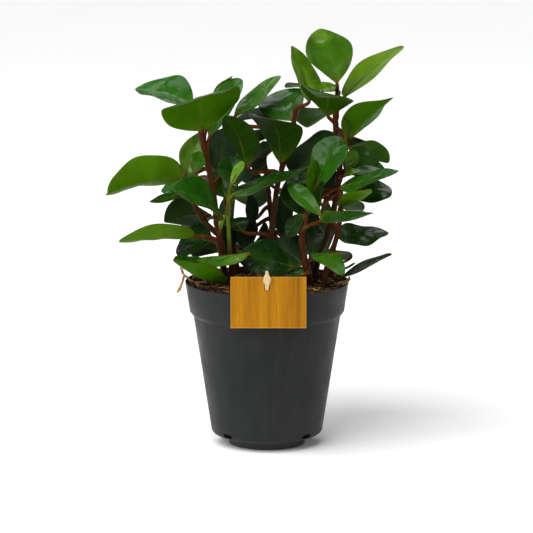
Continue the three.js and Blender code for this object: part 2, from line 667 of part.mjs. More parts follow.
const label = new THREE.Group();
label.add(piece("label_card", card(), CARD_FINISH));
label.add(piece("label_stake", stake(0), STAKE_FINISH));

const pottedPlant = new THREE.Group();
pottedPlant.add(piece("pot", pot(), POT_FINISH));
pottedPlant.add(piece("soil", soil(roots, stake(CLEAR)), SOIL_FINISH));
pottedPlant.add(plant);
pottedPlant.add(label);

export default pottedPlant;
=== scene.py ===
"""A potted peperomia: glossy leaves on red-brown stems, in a charcoal nursery pot of peat, with a bare
card on a wooden peg at the front. Shapes are worked out in millimetres in the part's own frame and
turned into metres when their mesh is made. The front faces -Y."""

import math

import bpy
import numpy as np
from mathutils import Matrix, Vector, noise


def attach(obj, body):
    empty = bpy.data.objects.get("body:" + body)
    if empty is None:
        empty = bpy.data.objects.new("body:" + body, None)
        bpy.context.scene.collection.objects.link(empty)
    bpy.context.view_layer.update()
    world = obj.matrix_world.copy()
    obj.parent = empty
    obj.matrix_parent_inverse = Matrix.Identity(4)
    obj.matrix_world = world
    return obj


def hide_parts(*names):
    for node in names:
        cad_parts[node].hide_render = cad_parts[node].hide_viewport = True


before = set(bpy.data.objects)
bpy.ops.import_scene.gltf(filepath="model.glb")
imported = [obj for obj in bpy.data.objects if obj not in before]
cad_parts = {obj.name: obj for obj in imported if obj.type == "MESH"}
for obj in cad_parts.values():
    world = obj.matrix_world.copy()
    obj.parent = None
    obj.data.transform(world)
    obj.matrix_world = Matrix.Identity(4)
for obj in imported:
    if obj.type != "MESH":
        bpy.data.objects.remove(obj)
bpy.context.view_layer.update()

MM = 0.001

# ---- camera ----

# The plant is drawn from here, so a point [u, v, y] is the one that lies y behind the pot's axis and
# shows at u across and v up on the upright plane through the axis.
EYE_ACROSS = -0.37
EYE_DISTANCE = 3000
EYE_HEIGHT = 699
AIM_HEIGHT = 131.5
PICTURE_SIDE = 533  # pixels
PIXELS_PER_MM = 1.366  # on that plane
SENSOR = 36

# ---- plant ----

# Each stem has its limbs, and each limb its leaves. A leaf is [height where its stalk leaves the limb,
# base [u, v, y], tip [u, v], length, width, tilt, cup, arch, shade], with [widest, neck, point] after it
# where its form isn't BLADE_FORM. A negative length leans to the front. Tilt turns the upper face to the
# front, cup lifts both halves (degrees), arch lifts the middle (mm), and shade goes from 0, a dark leaf,
# to 1, a light one: partly the leaf's own age, old and dark or young and light, and partly painted light,
# near 0 as painted shade for the fill leaves deep inside and higher as painted sheen on a few leaves.
# A limb turns green above its green_from.
STEMS = {}

STEMS["leafy_stem_left"] = [{
    "root": [-31, -8],
    "radius": [2.8, 1.8],
    "path": [[-33, 140, -8], [-36, 160, -9], [-39, 185, -9], [-42, 202, -8], [-46, 220, -7],
             [-48.5, 233, -7]],
    "leaves": [
        [229, [-55, 252.6, 14], [-96, 262.8], 47, 38, 20, 18, 3, 0.5, [0.42, 0.55, 0.92]],
        [230, [-47, 233, -8], [-43.5, 258.2], -46, 60, 17, -3, 10, 0.5, [0.5, 0.55, 0.5]],
        [222, [-38, 250, 28], [-25.5, 272.5], -30, 16, 10, 10, 2, 0.85, [0.45, 0.75, 0.9]],
        [208, [-42, 228, -4], [-19.5, 270.5], 52, 22, 24, 22, 3, 0.52, [0.55, 0.75, 0.5]],
        [205, [-53, 201, -18], [-49, 217], 18, 12, 40, 10, 1, 0.55],
        [166, [-33, 169, -18], [-68, 188.5], -46, 40, 35, 16, 4, 0.42],
        [150, [-53, 154.5, -9], [-108.3, 150.6], -57, 40, -27, 14, 0.5, 0.65, [0.38, 0.45, 0.55]],
        [147, [-40, 151, -6], [-65, 148], 30, 33, 40, 6, 2, 0.08, [0.55, 0.75, 0.42]],
        [192, [-50, 198, 12], [-76, 190], 34, 26, 30, 6, 0, 0.45, [0.55, 0.75, 0.5]],
        [190, [-34.5, 200, 8], [-31, 234], 38, 24, 0, 8, 2, 0.03, [0.6, 0.75, 0.6]],
        [152, [-34.5, 158, -13.5], [-31, 170], 12.4, 7, 40, 10, 1, 0.9, [0.7, 0.75, 0.66]],
        [140, [-36, 143, 12], [-56, 146], 24, 22, 34, 6, 2, 0.04],
    ],
}, {
    "radius": [2.2, 1.6],
    "path": [[-36.5, 156, -8.5], [-44, 163, -7], [-50, 172, -5], [-55, 182, -3], [-59, 192, -2]],
    "leaves": [
        [190, [-61, 197.6, -3], [-116.7, 186.2], -62, 42, -48, 26, 4, 0.6, [0.4, 0.38, 0.36]],
        [193, [-59.5, 200, 2], [-48.5, 231.5], 35, 21, 52, 18, 2, 0.78, [0.42, 0.75, 0.95]],
        [186, [-64, 186.5, -6], [-86, 180], -24, 14, 12, 6, -1.5, 0.3, [0.55, 0.75, 1.1]],
        [168, [-41, 170, 2], [-75, 165], 42, 32, -45, 12, 3, 0.1, [0.55, 0.75, 0.8]],
        [184, [-62, 188, 2], [-73, 181], 14, 10, 40, 6, 1, 0.5],
    ],
}]
STEMS["leafy_stem_shoot"] = [{
    "root": [-25, -20],
    "green_from": 146,
    "radius": [2, 1.3],
    "path": [[-27.5, 150, -20], [-28.5, 172, -20], [-27.5, 186, -20]],
    "leaves": [
        [184, [-26.5, 192, -20], [-17, 209.5], 20, 9, 35, 12, 1, 0.9, [0.72, 0.6, 0.5]],
        [178, [-22, 192, -8], [-28, 213.5], 24, 25, 20, 8, 2, 0.3],
        [172, [-29, 183, -2], [-40, 203], 30, 24, 30, 10, 2, 0.35],
        [128, [-31, 119, -18], [-68.5, 136.5], -48, 34, 8, 43, -3, 0.5, [0.45, 0.5, 0.66]],
        [134, [-13.5, 141, -36], [-55, 136.8], 46, 25, 13, -14, 0, 0.62, [0.25, 0.4, 0.9]],
        [174, [-26, 184.5, -22], [31, 205.5], 62, 30, 6, 3, 0.5, 0.35, [0.28, 0.5, 0.9]],
    ],
}]
STEMS["leafy_stem_centre"] = [{
    "root": [1, 8],
    "radius": [2.7, 1.6],
    "path": [[2, 150, 7], [5, 170, 6], [7, 188, 7], [11, 205, 8], [15, 218, 8], [19, 236, 7],
             [21, 248, 6]],
    "leaves": [
        [226, [-24, 242.5, 14], [9.5, 272.5], 46, 29, 7, 2, 1, 0.6, [0.5, 0.75, 0.7]],
        [205, [10, 209, 0], [-7, 242.5], -51, 42, 8, 6, 12, 0.25, [0.55, 0.75, 0.5]],
        [197, [-14.5, 206.5, -12], [-28, 243.5], -44, 31, 0, 12, 3, 0.16],
        [236, [19, 240, 10], [5, 260], 40, 35, 25, 8, 2, 0.42, [0.55, 0.75, 0.5]],
        [152, [-18, 158, 4], [-27, 166], 21, 22, 10, 8, 2, 0.25],
        [246, [31.5, 254, 2], [18, 294.5], 45, 29, -10, 12, 2, 0.88, [0.34, 0.5, 0.8]],
        [228, [12, 232, 22], [-6, 225], 40, 32, 0, 8, 4, 0.3],
        [222, [6, 240, 16], [-22, 242], 34, 30, 10, 6, 3, 0.04],
        [214, [5, 221, 16], [-13, 209], 24, 22, 34, 6, 2, 0.05],
    ],
}]
STEMS["leafy_stem_front"] = [{
    "root": [31, -12],
    "radius": [2.8, 2],
    "path": [[28, 135, -13], [25.5, 150, -14], [26, 166, -15]],
    "leaves": [
        [162, [29, 169, -5], [22, 201], 36, 31, 30, 8, 2, 0.12, [0.5, 0.75, 0.5]],
        [152, [27, 170, -17], [13.5, 154], 23, 15, 75, 6, 1, 0.2],
        [130, [20, 131, -14], [-21, 137.5], -42, 38, 34, 8, 3, 0.08],
        [136, [27, 133, -10], [3, 150], 32, 30, 40, 8, 2, 0.05],
        [134, [33, 139, -6], [36, 170], 33, 15, 20, 12, 2, 0.1],
        [128, [27, 126, -30], [11, 124], 22, 18, 20, 6, 2, 0.1],
        [160, [39.5, 169.5, -31], [16, 193], 36, 14, 42, 10, 1, 0.55, [0.6, 0.75, 0.5]],
    ],
}]
STEMS["leafy_stem_tall"] = [{
    "root": [35, 10],
    "radius": [3, 1.6],
    "path": [[38, 140, 8], [43, 152, 6], [48, 170, 4], [51, 187, 2], [53, 202, 1], [51, 220, 2],
             [50, 238, 3], [51, 258, 4]],
    "leaves": [
        [256, [51, 267.5, 4], [38.5, 307], 47, 37, 6, 6, 2, 0.68, [0.55, 0.85, 0.66]],
        [254, [51, 262, 18], [13.5, 264.5], 48, 28, -12, 6, 2, 0.7],
        [243, [56.2, 257.8, 0], [98, 294.4], -58, 38, -13, 6, 2, 0.85, [0.5, 0.45, 0.55]],
        [236, [44, 243.6, -2], [39, 257], -46, 40, 13, 4, 9, 0.33, [0.55, 0.75, 0.55]],
        [232, [60, 226.8, -4], [91.5, 257.2], -50, 34, -16, 24, 2, 0.45, [0.33, 0.5, 1.2]],
        [222, [58, 226, -12], [56.5, 242], -18, 11, 60, 10, 1, 0.3, [0.55, 0.75, 0.9]],
        [188, [34, 187, -14], [54, 227.5], 46, 29, 30, 8, 3, 0.5, [0.66, 0.9, 0.42]],
        [212, [57, 224.5, 12], [14, 209], 50, 38, 34, 0, 3, 0.05, [0.5, 0.75, 0.45]],
        [206, [60, 220.8, 16], [88.5, 209], 41, 21, -30, 10, 4, 0.35, [0.55, 0.5, 0.6]],
        [198, [57, 201, -3], [82, 209], 36, 33, 36, 18, 2, 0.35],
        [200, [57, 203, 0], [64.5, 217.5], 19, 12, 35, 10, 1, 0.75],
        [184, [38.5, 178, -13], [39, 195], -19, 13, 50, 10, 1, 0.25],
        [242, [45, 249, 20], [29, 235], 44, 34, 0, 8, 4, 0.45],
        [224, [58, 229, 20], [69, 211], 44, 34, 14, 8, 4, 0.3],
        [252, [49.5, 265.5, -2], [39, 262], -15, 12, 30, 6, 1, 0.8],
        [188, [34.5, 184, -16], [35, 210.5], -26.6, 16, 40, 8, 2, 0.45, [0.55, 0.75, 0.5]],
        [196, [56, 199, -10], [68.5, 203], 15, 8, 20, 10, 1, 0.9],
    ],
}]
STEMS["leafy_stem_low"] = [{
    "root": [42, -12],
    "radius": [2.4, 1.6],
    "path": [[46, 138, -12], [50, 150, -12], [53, 164, -12], [54, 178, -12], [54, 190, -12]],
    "leaves": [
        [184, [53, 190.5, -14], [96, 203], -48, 32, 17, 2, 0, 0.42, [0.35, 0.75, 1.0]],
        [170, [53, 176, -16], [76, 189.5], -38, 20, -12, 4, 1, 0.65, [0.55, 0.75, 1.0]],
        [176, [58, 183, -2], [90.5, 189.8], 36, 30, 24, 0, 2, 0.3, [0.6, 0.75, 0.6]],
        [160, [42, 172.5, -27], [78.5, 171.8], -42, 38, 6, -13, 0, 0.3, [0.27, 0.45, 1.5]],
        [146, [52.3, 153.6, -4], [89, 157], 38, 40, 13, 0, 1.2, 0.3, [0.33, 0.35, 0.85]],
        [142, [53, 142, -22], [34, 137.2], -28, 34, 22, -26, 0, 0.6, [0.3, 0.5, 1.0]],
        [132, [51, 121.5, -2], [91, 141], -48, 26, 12, 4, 1, 0.25, [0.5, 0.9, 0.66]],
    ],
}]
STEMS["leafy_stem_back_left"] = [{
    "root": [-22, 32],
    "radius": [2.6, 1.6],
    "path": [[-26, 150, 32], [-30, 180, 33], [-32, 203, 34]],
    "leaves": [
        [191, [-39, 199, 44], [-62, 178], 46, 36, 10, 8, 4, 0.3],
        [201, [-31, 212, 42], [-27, 195], 42, 38, 0, 10, 5, 0.5],
        [184, [-22, 190, 44], [-6, 176], 44, 34, -12, 6, 4, 0.3],
        [164, [-37, 168, 40], [-53, 159], 46, 36, 12, 6, 4, 0.2],
        [148, [-23, 151, 44], [-12, 135], 40, 36, 0, 6, 4, 0.15],
        [134, [-33, 138, 40], [-52, 129], 40, 32, 8, 6, 3, 0.1],
        [138, [-30, 141, 20], [-29, 168], 28, 18, 50, 6, 2, 0.05],
        [140, [-15, 143, 20], [-18, 168], 28, 14, 50, 6, 2, 0.05],
        [150, [-27.1, 160, 26], [-27.1, 188], 31, 18, 50, 6, 2, 0.04],
    ],
}]
STEMS["leafy_stem_back_centre"] = [{
    "root": [6, 38],
    "radius": [2.6, 1.6],
    "path": [[4, 160, 39], [0, 195, 40], [-2, 212, 40]],
    "leaves": [
        [207, [-9, 217, 46], [-24, 206], 42, 30, 10, 8, 4, 0.35],
        [209, [2, 217, 47], [12, 221], 38, 30, -15, 8, 3, 0.6],
        [186, [6, 190, 48], [22, 178], 44, 34, 8, 6, 4, 0.3],
        [168, [-8, 167.5, 48], [-24, 160], 34, 24, 0, 8, 3, 0.15],
        [146, [10, 150, 46], [22, 138], 42, 34, 5, 6, 4, 0.12],
        [150, [14, 152, 30], [12, 187], 38, 21, 50, 6, 2, 0.03],
        [160, [-12, 160, 33], [-11.4, 185], 27, 14, 50, 6, 1, 0.03, [0.55, 0.75, 0.5]],
        [190, [-3, 195, 30], [-20, 199], 20, 15, 30, 6, 1, 0.04],
        [150, [-11.2, 147.6, 26.5], [-10.5, 168], 22.5, 10, 50, 6, 1, 0.04, [0.7, 0.75, 0.5]],
        [148, [-1.5, 148, 26], [-2, 164.5], 18, 10, 50, 6, 1, 0.04],
        [196, [-9.3, 200.4, 27.4], [-7, 216], 20, 13, 50, 6, 1, 0.05],
    ],
}]
STEMS["leafy_stem_back_right"] = [{
    "root": [32, 34],
    "radius": [2.6, 1.6],
    "path": [[34, 150, 34], [38, 185, 35], [40, 206, 36]],
    "leaves": [
        [203, [47, 212, 40], [68, 204], 46, 34, 12, 8, 3, 0.3],
        [200, [34, 211, 44], [28, 193], 40, 32, 0, 10, 5, 0.45],
        [178, [45, 182, 42], [62, 172], 46, 34, 10, 6, 4, 0.25],
        [156, [35, 161, 44], [33, 147], 38, 28, -8, 6, 4, 0.15],
        [138, [40, 144, 43], [50, 137], 42, 34, 14, 6, 4, 0.1],
        [148, [34, 152, 24], [33, 190], 40, 17, 50, 6, 2, 0.03],
        [136, [42, 140, 24], [43, 182], 44, 17, 50, 6, 2, 0.03],
        [176, [50, 182, 26], [47, 203], 24, 18, 50, 6, 1, 0.03],
    ],
}]

SOIL_TOP = 117.5  # at the wall
ROOT_DEPTH = 24
ROOT_RISE = 4
STEM_SIDES = 14
STEM_STEP = 1.5
NODE_SWELL = 0.45  # how much thicker a stem is where a stalk leaves it
NODE_LENGTH = 2.2
GREEN_FADE = 12  # from brown to the green of a young limb
PETIOLE_SIDES = 12
PETIOLE_STEPS = 18
PETIOLE_RADIUS = [1.75, 1.15]
PETIOLE_FOOT = 0.5  # how much thicker its foot is
PETIOLE_FOOT_FADE = 9
PETIOLE_SUNK = 2
PETIOLE_BOW = [0.35, 0.45]
MIDRIB_STEPS = 12
MIDRIB_REACH = 0.62  # of the blade
MIDRIB_RADIUS = [0.85, 0.22]
MIDRIB_SUNK = [0.55, 0.95]  # of the blade's thickness
CURVE_SAMPLES = 200
CURVE_STEPS = 24  # between two of its points
TUBE_SIDEWAYS = [0.3, 1, 0.1]  # no tube starts along this

BLADE_STATIONS = 30
BLADE_RING = 44  # points round one cross-section
BLADE_THICK = 1.0
THIN_BELOW = 1.5  # half width at which a blade begins to thin out

# [widest, neck, point]: where on the way to the tip the blade is widest, and how narrow its start and
# how sharp its tip are, more so the higher the number.
BLADE_FORM = [0.55, 0.75, 0.66]
BLADE_BASE_HALF = 1.2
BLADE_TIP_HALF = 0.25
CUP_CURVE = 1.4
MIDRIB_CROWDING = 1.4  # the higher, the closer together the points near the midrib
EDGE_ROUNDNESS = 8  # the higher, the blunter the margin
VEIN_SPACING = 7.5
VEIN_SLANT = 0.6
VEIN_RELIEF = 0.08
GROOVE_DEPTH = 0.32
GROOVE_HALF_WIDTH = 1.0
EDGE_WAVE = 0.035  # of the blade's width
EDGE_WAVE_COUNT = [1.0, 1.7]
EDGE_WAVE_LAG = 0.7  # of one margin behind the other
PUCKER = [0.2, 0.65]  # how far an old and a young blade swell between their veins
PUCKER_LENGTH = 17
PUCKER_WIDTH = 6
PUCKER_WINDING = 1.4
PUCKER_WINDING_WIDTH = 7
PUCKER_PHASE = 0.37  # for each millimetre that one leaf's base lies from another's
BLADE_SEED = 7
OFF_MARGIN = 9.0  # the distance from the margin that points off a blade are given

UPPER, UNDER, BARK = range(3)  # material slots of a leafy stem


def seen(u, v, y):
    reach = 1 + y / EYE_DISTANCE
    return np.array([u * reach, y, EYE_HEIGHT + (v - EYE_HEIGHT) * reach])


def unit(vector):
    return vector / np.linalg.norm(vector)


def turns_of(count):
    return 2 * math.pi * np.arange(count) / count


def circle(count):
    turns = turns_of(count)
    return np.stack([np.cos(turns), np.sin(turns)], axis=1)


def ring_faces(rows, sides, first=0):
    """The faces between rings of points, and one over each end."""
    faces = []
    for i in range(rows - 1):
        for j in range(sides):
            here = first + i * sides + j
            beside = first + i * sides + (j + 1) % sides
            faces.append((here, beside, beside + sides, here + sides))
    last = first + (rows - 1) * sides
    faces.append(tuple(range(first + sides - 1, first - 1, -1)))
    faces.append(tuple(range(last, last + sides)))
    return faces


def linked(name, data):
    made = bpy.data.objects.new(name, data)
    bpy.context.scene.collection.objects.link(made)
    return made


class Shells:
    """Closed shells that go into one mesh, each from rings of points."""

    def __init__(self):
        self.points = []
        self.faces = []
        self.slots = []
        self.marks = []
        self.rims = []
        self.count = 0

    def add(self, rings, slots, marks, rims):
        """rings, marks: arrays of [ring, point, 3]; rims: [ring, point]; slots: one for each side."""
        rows, sides = rings.shape[:2]
        self.points.append(rings.reshape(-1, 3))
        self.marks.append(marks.reshape(-1, 3))
        self.rims.append(rims.reshape(-1))
        self.faces += ring_faces(rows, sides, self.count)
        self.slots += [*slots] * (rows - 1) + [slots[0]] * 2
        self.count += rows * sides

    def add_plain(self, rings, mark=0.0):
        """A shell of one material, with the same mark all over."""
        rings = np.array(rings)
        self.add(rings, [0] * rings.shape[1], np.full(rings.shape, mark), np.zeros(rings.shape[:2]))

    def build(self, name, materials, slot, *nodes):
        mesh = bpy.data.meshes.new(name)
        mesh.from_pydata((np.concatenate(self.points) * MM).tolist(), [], self.faces)
        mesh.polygons.foreach_set("material_index", self.slots)
        mesh.polygons.foreach_set("use_smooth", [True] * len(self.faces))
        mesh.attributes.new("mark", "FLOAT_VECTOR", "POINT")
        mesh.attributes["mark"].data.foreach_set("vector", np.concatenate(self.marks).ravel())
        mesh.attributes.new("rim", "FLOAT", "POINT")
        mesh.attributes["rim"].data.foreach_set("value", np.concatenate(self.rims))
        for material in materials:
            mesh.materials.append(material)
        mesh.validate()
        return place(linked(name, mesh), slot, *nodes)


def place(piece, slot, *nodes):
    """Lets a piece ride on the root body and stand for its CAD nodes, which it hides."""
    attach(piece, "root")
    if nodes:
        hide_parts(*nodes)
    return piece


def curve_through(points):
    """Evenly spaced points on a centripetal Catmull-Rom curve."""
    points = [np.array(p, float) for p in points]
    padded = [2 * points[0] - points[1], *points, 2 * points[-1] - points[-2]]
    dense = []
    for a, b, c, d in zip(padded, padded[1:], padded[2:], padded[3:]):
        before, within, after = (math.sqrt(np.linalg.norm(q - p)) for p, q in ((a, b), (b, c), (c, d)))
        start = ((b - a) / before - (c - a) / (before + within) + (c - b) / within) * within
        end = ((c - b) / within - (d - b) / (within + after) + (d - c) / after) * within
        for t in np.linspace(0, 1, CURVE_STEPS, endpoint=False):
            dense.append(b + start * t + (3 * (c - b) - 2 * start - end) * t**2
                         + (2 * (b - c) + start + end) * t**3)
    dense.append(points[-1])
    return resampled(np.array(dense), CURVE_SAMPLES + 1)


def resampled(points, count):
    lengths = np.concatenate([[0], np.cumsum(np.linalg.norm(np.diff(points, axis=0), axis=1))])
    wanted = np.linspace(0, lengths[-1], count)
    return np.stack([np.interp(wanted, lengths, points[:, k]) for k in range(3)], axis=1)


def tube_rings(points, radii, sides):
    """Rings round a line of points, without twist from one to the next."""
    tangents = np.gradient(points, axis=0)
    tangents /= np.linalg.norm(tangents, axis=1)[:, None]
    normal = unit(np.cross(tangents[0], TUBE_SIDEWAYS))
    turns = turns_of(sides)
    rings = []
    for point, tangent, radius in zip(points, tangents, radii):
        normal = unit(normal - tangent * (normal @ tangent))
        other = np.cross(tangent, normal)
        rings.append(point + radius * (np.outer(np.cos(turns), normal) + np.outer(np.sin(turns), other)))
    return np.array(rings)


def leaf_frame(base, tip, length, tilt):
    across_view = math.hypot(tip[0] - base[0], tip[1] - base[1])
    depth = math.copysign(math.sqrt(max(length**2 - across_view**2, 0)), length)
    start = seen(*base)
    along = seen(*tip, base[2] + depth) - start
    size = np.linalg.norm(along)
    along /= size
    up = unit(np.array([0, 0, 1]) - along * along[2])
    side = np.cross(along, up)
    turn = math.radians(tilt)
    lean = -1 if along[0] < 0 else 1
    face = up * math.cos(turn) + side * lean * math.sin(turn)
    return {"from": start, "along": along, "face": face, "across": np.cross(along, face), "size": size}


def blade_half(station, width, form):
    """Half the blade's width, from its base at 0 to its tip at 1."""
    widest, neck, point = form
    below = np.sin(math.pi / 2 * np.minimum(station / widest, 1)) ** neck
    above = np.cos(math.pi / 2 * np.clip((station - widest) / (1 - widest), 0, 1))
    full = width / 2 * below * np.maximum(above, 0) ** point
    least = BLADE_BASE_HALF + (BLADE_TIP_HALF - BLADE_BASE_HALF) * station
    return np.hypot(full, least)


def spine(leaf, station, arch):
    return (leaf["from"] + np.outer(leaf["size"] * station, leaf["along"])
            + np.outer(arch * np.sin(math.pi * station), leaf["face"]))


def add_blade(shells, leaf, width, cup, arch, shade, form, rng):
    station = (1 - np.cos(math.pi * np.linspace(0, 1, BLADE_STATIONS))) / 2
    half = blade_half(station, width, form)[:, None]
    turn = turns_of(BLADE_RING)
    across = -np.sign(np.cos(turn)) * np.abs(np.cos(turn)) ** MIDRIB_CROWDING
    upper = np.where(turn < math.pi, 1.0, -1.0)
    away = np.abs(across)[None, :]
    along = station[:, None]
    aside = across[None, :] * half

    cupped = half * math.sin(math.radians(cup)) * away**CUP_CURVE
    thick = 0.5 * BLADE_THICK * np.sqrt(1 - np.minimum(away, 1) ** EDGE_ROUNDNESS)
    thick = thick * np.minimum(1, half / THIN_BELOW)
    groove = np.exp(-((aside / GROOVE_HALF_WIDTH) ** 2)) * np.sqrt(1 - along)
    phase, _ = rng.uniform(0, 2 * math.pi, 2)
    waves = rng.uniform(*EDGE_WAVE_COUNT)
    wave = np.sin(2 * math.pi * waves * along + phase + EDGE_WAVE_LAG * across)
    wave = EDGE_WAVE * width * away**2 * wave * np.sin(math.pi * along) ** 0.5
    ripple = np.cos(2 * math.pi * (along * leaf["size"] - VEIN_SLANT * np.abs(aside)) / VEIN_SPACING)
    ripple = VEIN_RELIEF * ripple * away**0.5 * (1 - away**3) * np.sin(math.pi * along) ** 0.5
    warp = PUCKER_PHASE * leaf["from"]
    winding = PUCKER_WINDING * np.sin(aside / PUCKER_WINDING_WIDTH + warp[0])
    winding = winding + 2 * math.pi * along * leaf["size"] / PUCKER_LENGTH
    pucker = np.sin(winding + warp[1]) * np.cos(aside / PUCKER_WIDTH + warp[2]) * np.sin(math.pi * along)
    pucker = pucker * (PUCKER[0] + (PUCKER[1] - PUCKER[0]) * shade) * (1 - away**4)
    lift = cupped + wave + ripple + pucker - BLADE_THICK / 2 + upper * thick
    lift = lift - GROOVE_DEPTH * groove * (upper > 0)

    spread = math.cos(math.radians(cup))
    rings = (spine(leaf, station, arch)[:, None, :] + (aside * spread)[..., None] * leaf["across"]
             + lift[..., None] * leaf["face"])
    marks = np.stack(np.broadcast_arrays(along, across[None, :], np.full_like(along, shade)), axis=-1)
    rims = half * (1 - away)
    slots = np.where(turn < math.pi - 1e-6, UPPER, UNDER)
    shells.add(rings, slots.tolist(), marks, rims)


def add_stalk(shells, line, height, leaf, arch, shade, green):
    """The stalk from the limb to the blade, and on as the raised midrib under the blade."""
    nearest = int(np.argmin(np.abs(line[:, 2] - height)))
    point = line[nearest]
    tangent = np.gradient(line, axis=0)[nearest]
    inward = unit(leaf["along"] * leaf["size"] + leaf["face"] * arch * math.pi)
    end = leaf["from"] - leaf["face"] * BLADE_THICK / 2 + inward * PETIOLE_SUNK
    reach = np.linalg.norm(end - point)
    away = unit(unit(end - point) + unit(tangent))
    handles = [point, point + away * reach * PETIOLE_BOW[0], end - inward * reach * PETIOLE_BOW[1], end]
    t = np.linspace(0, 1, PETIOLE_STEPS)[:, None]
    weights = [(1 - t) ** 3, 3 * (1 - t) ** 2 * t, 3 * (1 - t) * t**2, t**3]
    stalk = sum(weight * handle for weight, handle in zip(weights, handles))
    station = np.linspace(PETIOLE_SUNK / leaf["size"], MIDRIB_REACH, MIDRIB_STEPS + 1)[1:]
    sink = np.linspace(*MIDRIB_SUNK, MIDRIB_STEPS)[:, None] * BLADE_THICK
    midrib = spine(leaf, station, arch) - leaf["face"] * sink
    foot = PETIOLE_FOOT * np.exp(-PETIOLE_FOOT_FADE * t[:, 0])
    radii = np.concatenate([
        np.linspace(*PETIOLE_RADIUS, PETIOLE_STEPS) + foot,
        np.linspace(*MIDRIB_RADIUS, MIDRIB_STEPS),
    ])
    rings = tube_rings(np.concatenate([stalk, midrib]), radii, PETIOLE_SIDES)
    ripe = np.concatenate([t[:, 0], 1 + station])[:, None] * np.ones(PETIOLE_SIDES)
    marks = np.stack([ripe, np.full_like(ripe, green), np.full_like(ripe, shade)], axis=-1)
    shells.add(rings, [BARK] * PETIOLE_SIDES, marks, np.full(ripe.shape, OFF_MARGIN))


def add_limb(shells, line, radii, heights, green_from):
    length = np.linalg.norm(np.diff(line, axis=0), axis=1).sum()
    points = resampled(line, max(int(length / STEM_STEP), 8))
    share = np.linspace(0, 1, len(points))
    radius = radii[0] + (radii[1] - radii[0]) * share
    for height in heights:
        radius = radius + NODE_SWELL * np.exp(-(((points[:, 2] - height) / NODE_LENGTH) ** 2))
    rings = tube_rings(points, radius, STEM_SIDES)
    green = np.clip((points[:, 2] - green_from) / GREEN_FADE, 0, 1)
    blank = np.zeros(rings.shape[:2])
    marks = np.stack([share[:, None] - 2 + blank, green[:, None] + blank, blank], axis=-1)
    shells.add(rings, [BARK] * STEM_SIDES, marks, blank + OFF_MARGIN)


def limb_line(root, path):
    points = [seen(*p) for p in path]
    if root:
        low = [SOIL_TOP - ROOT_DEPTH, SOIL_TOP - ROOT_DEPTH / 2, SOIL_TOP + ROOT_RISE]
        points = [np.array([*root, z], float) for z in low] + points
    return curve_through(points)


def leafy_stem(name, limbs, materials, rng):
    shells = Shells()
    for limb in limbs:
        line = limb_line(limb.get("root"), limb["path"])
        heights = [leaf[0] for leaf in limb["leaves"]]
        green_from = limb.get("green_from", math.inf)
        add_limb(shells, line, limb["radius"], heights, green_from)
        for height, base, tip, length, width, tilt, cup, arch, shade, *form in limb["leaves"]:
            leaf = leaf_frame(base, tip, length, tilt)
            add_stalk(shells, line, height, leaf, arch, shade, float(height > green_from))
            add_blade(shells, leaf, width, cup, arch, shade, form[0] if form else BLADE_FORM, rng)
    return shells.build(name + "_leaves", materials, "plant", name)


# ---- shader nodes ----


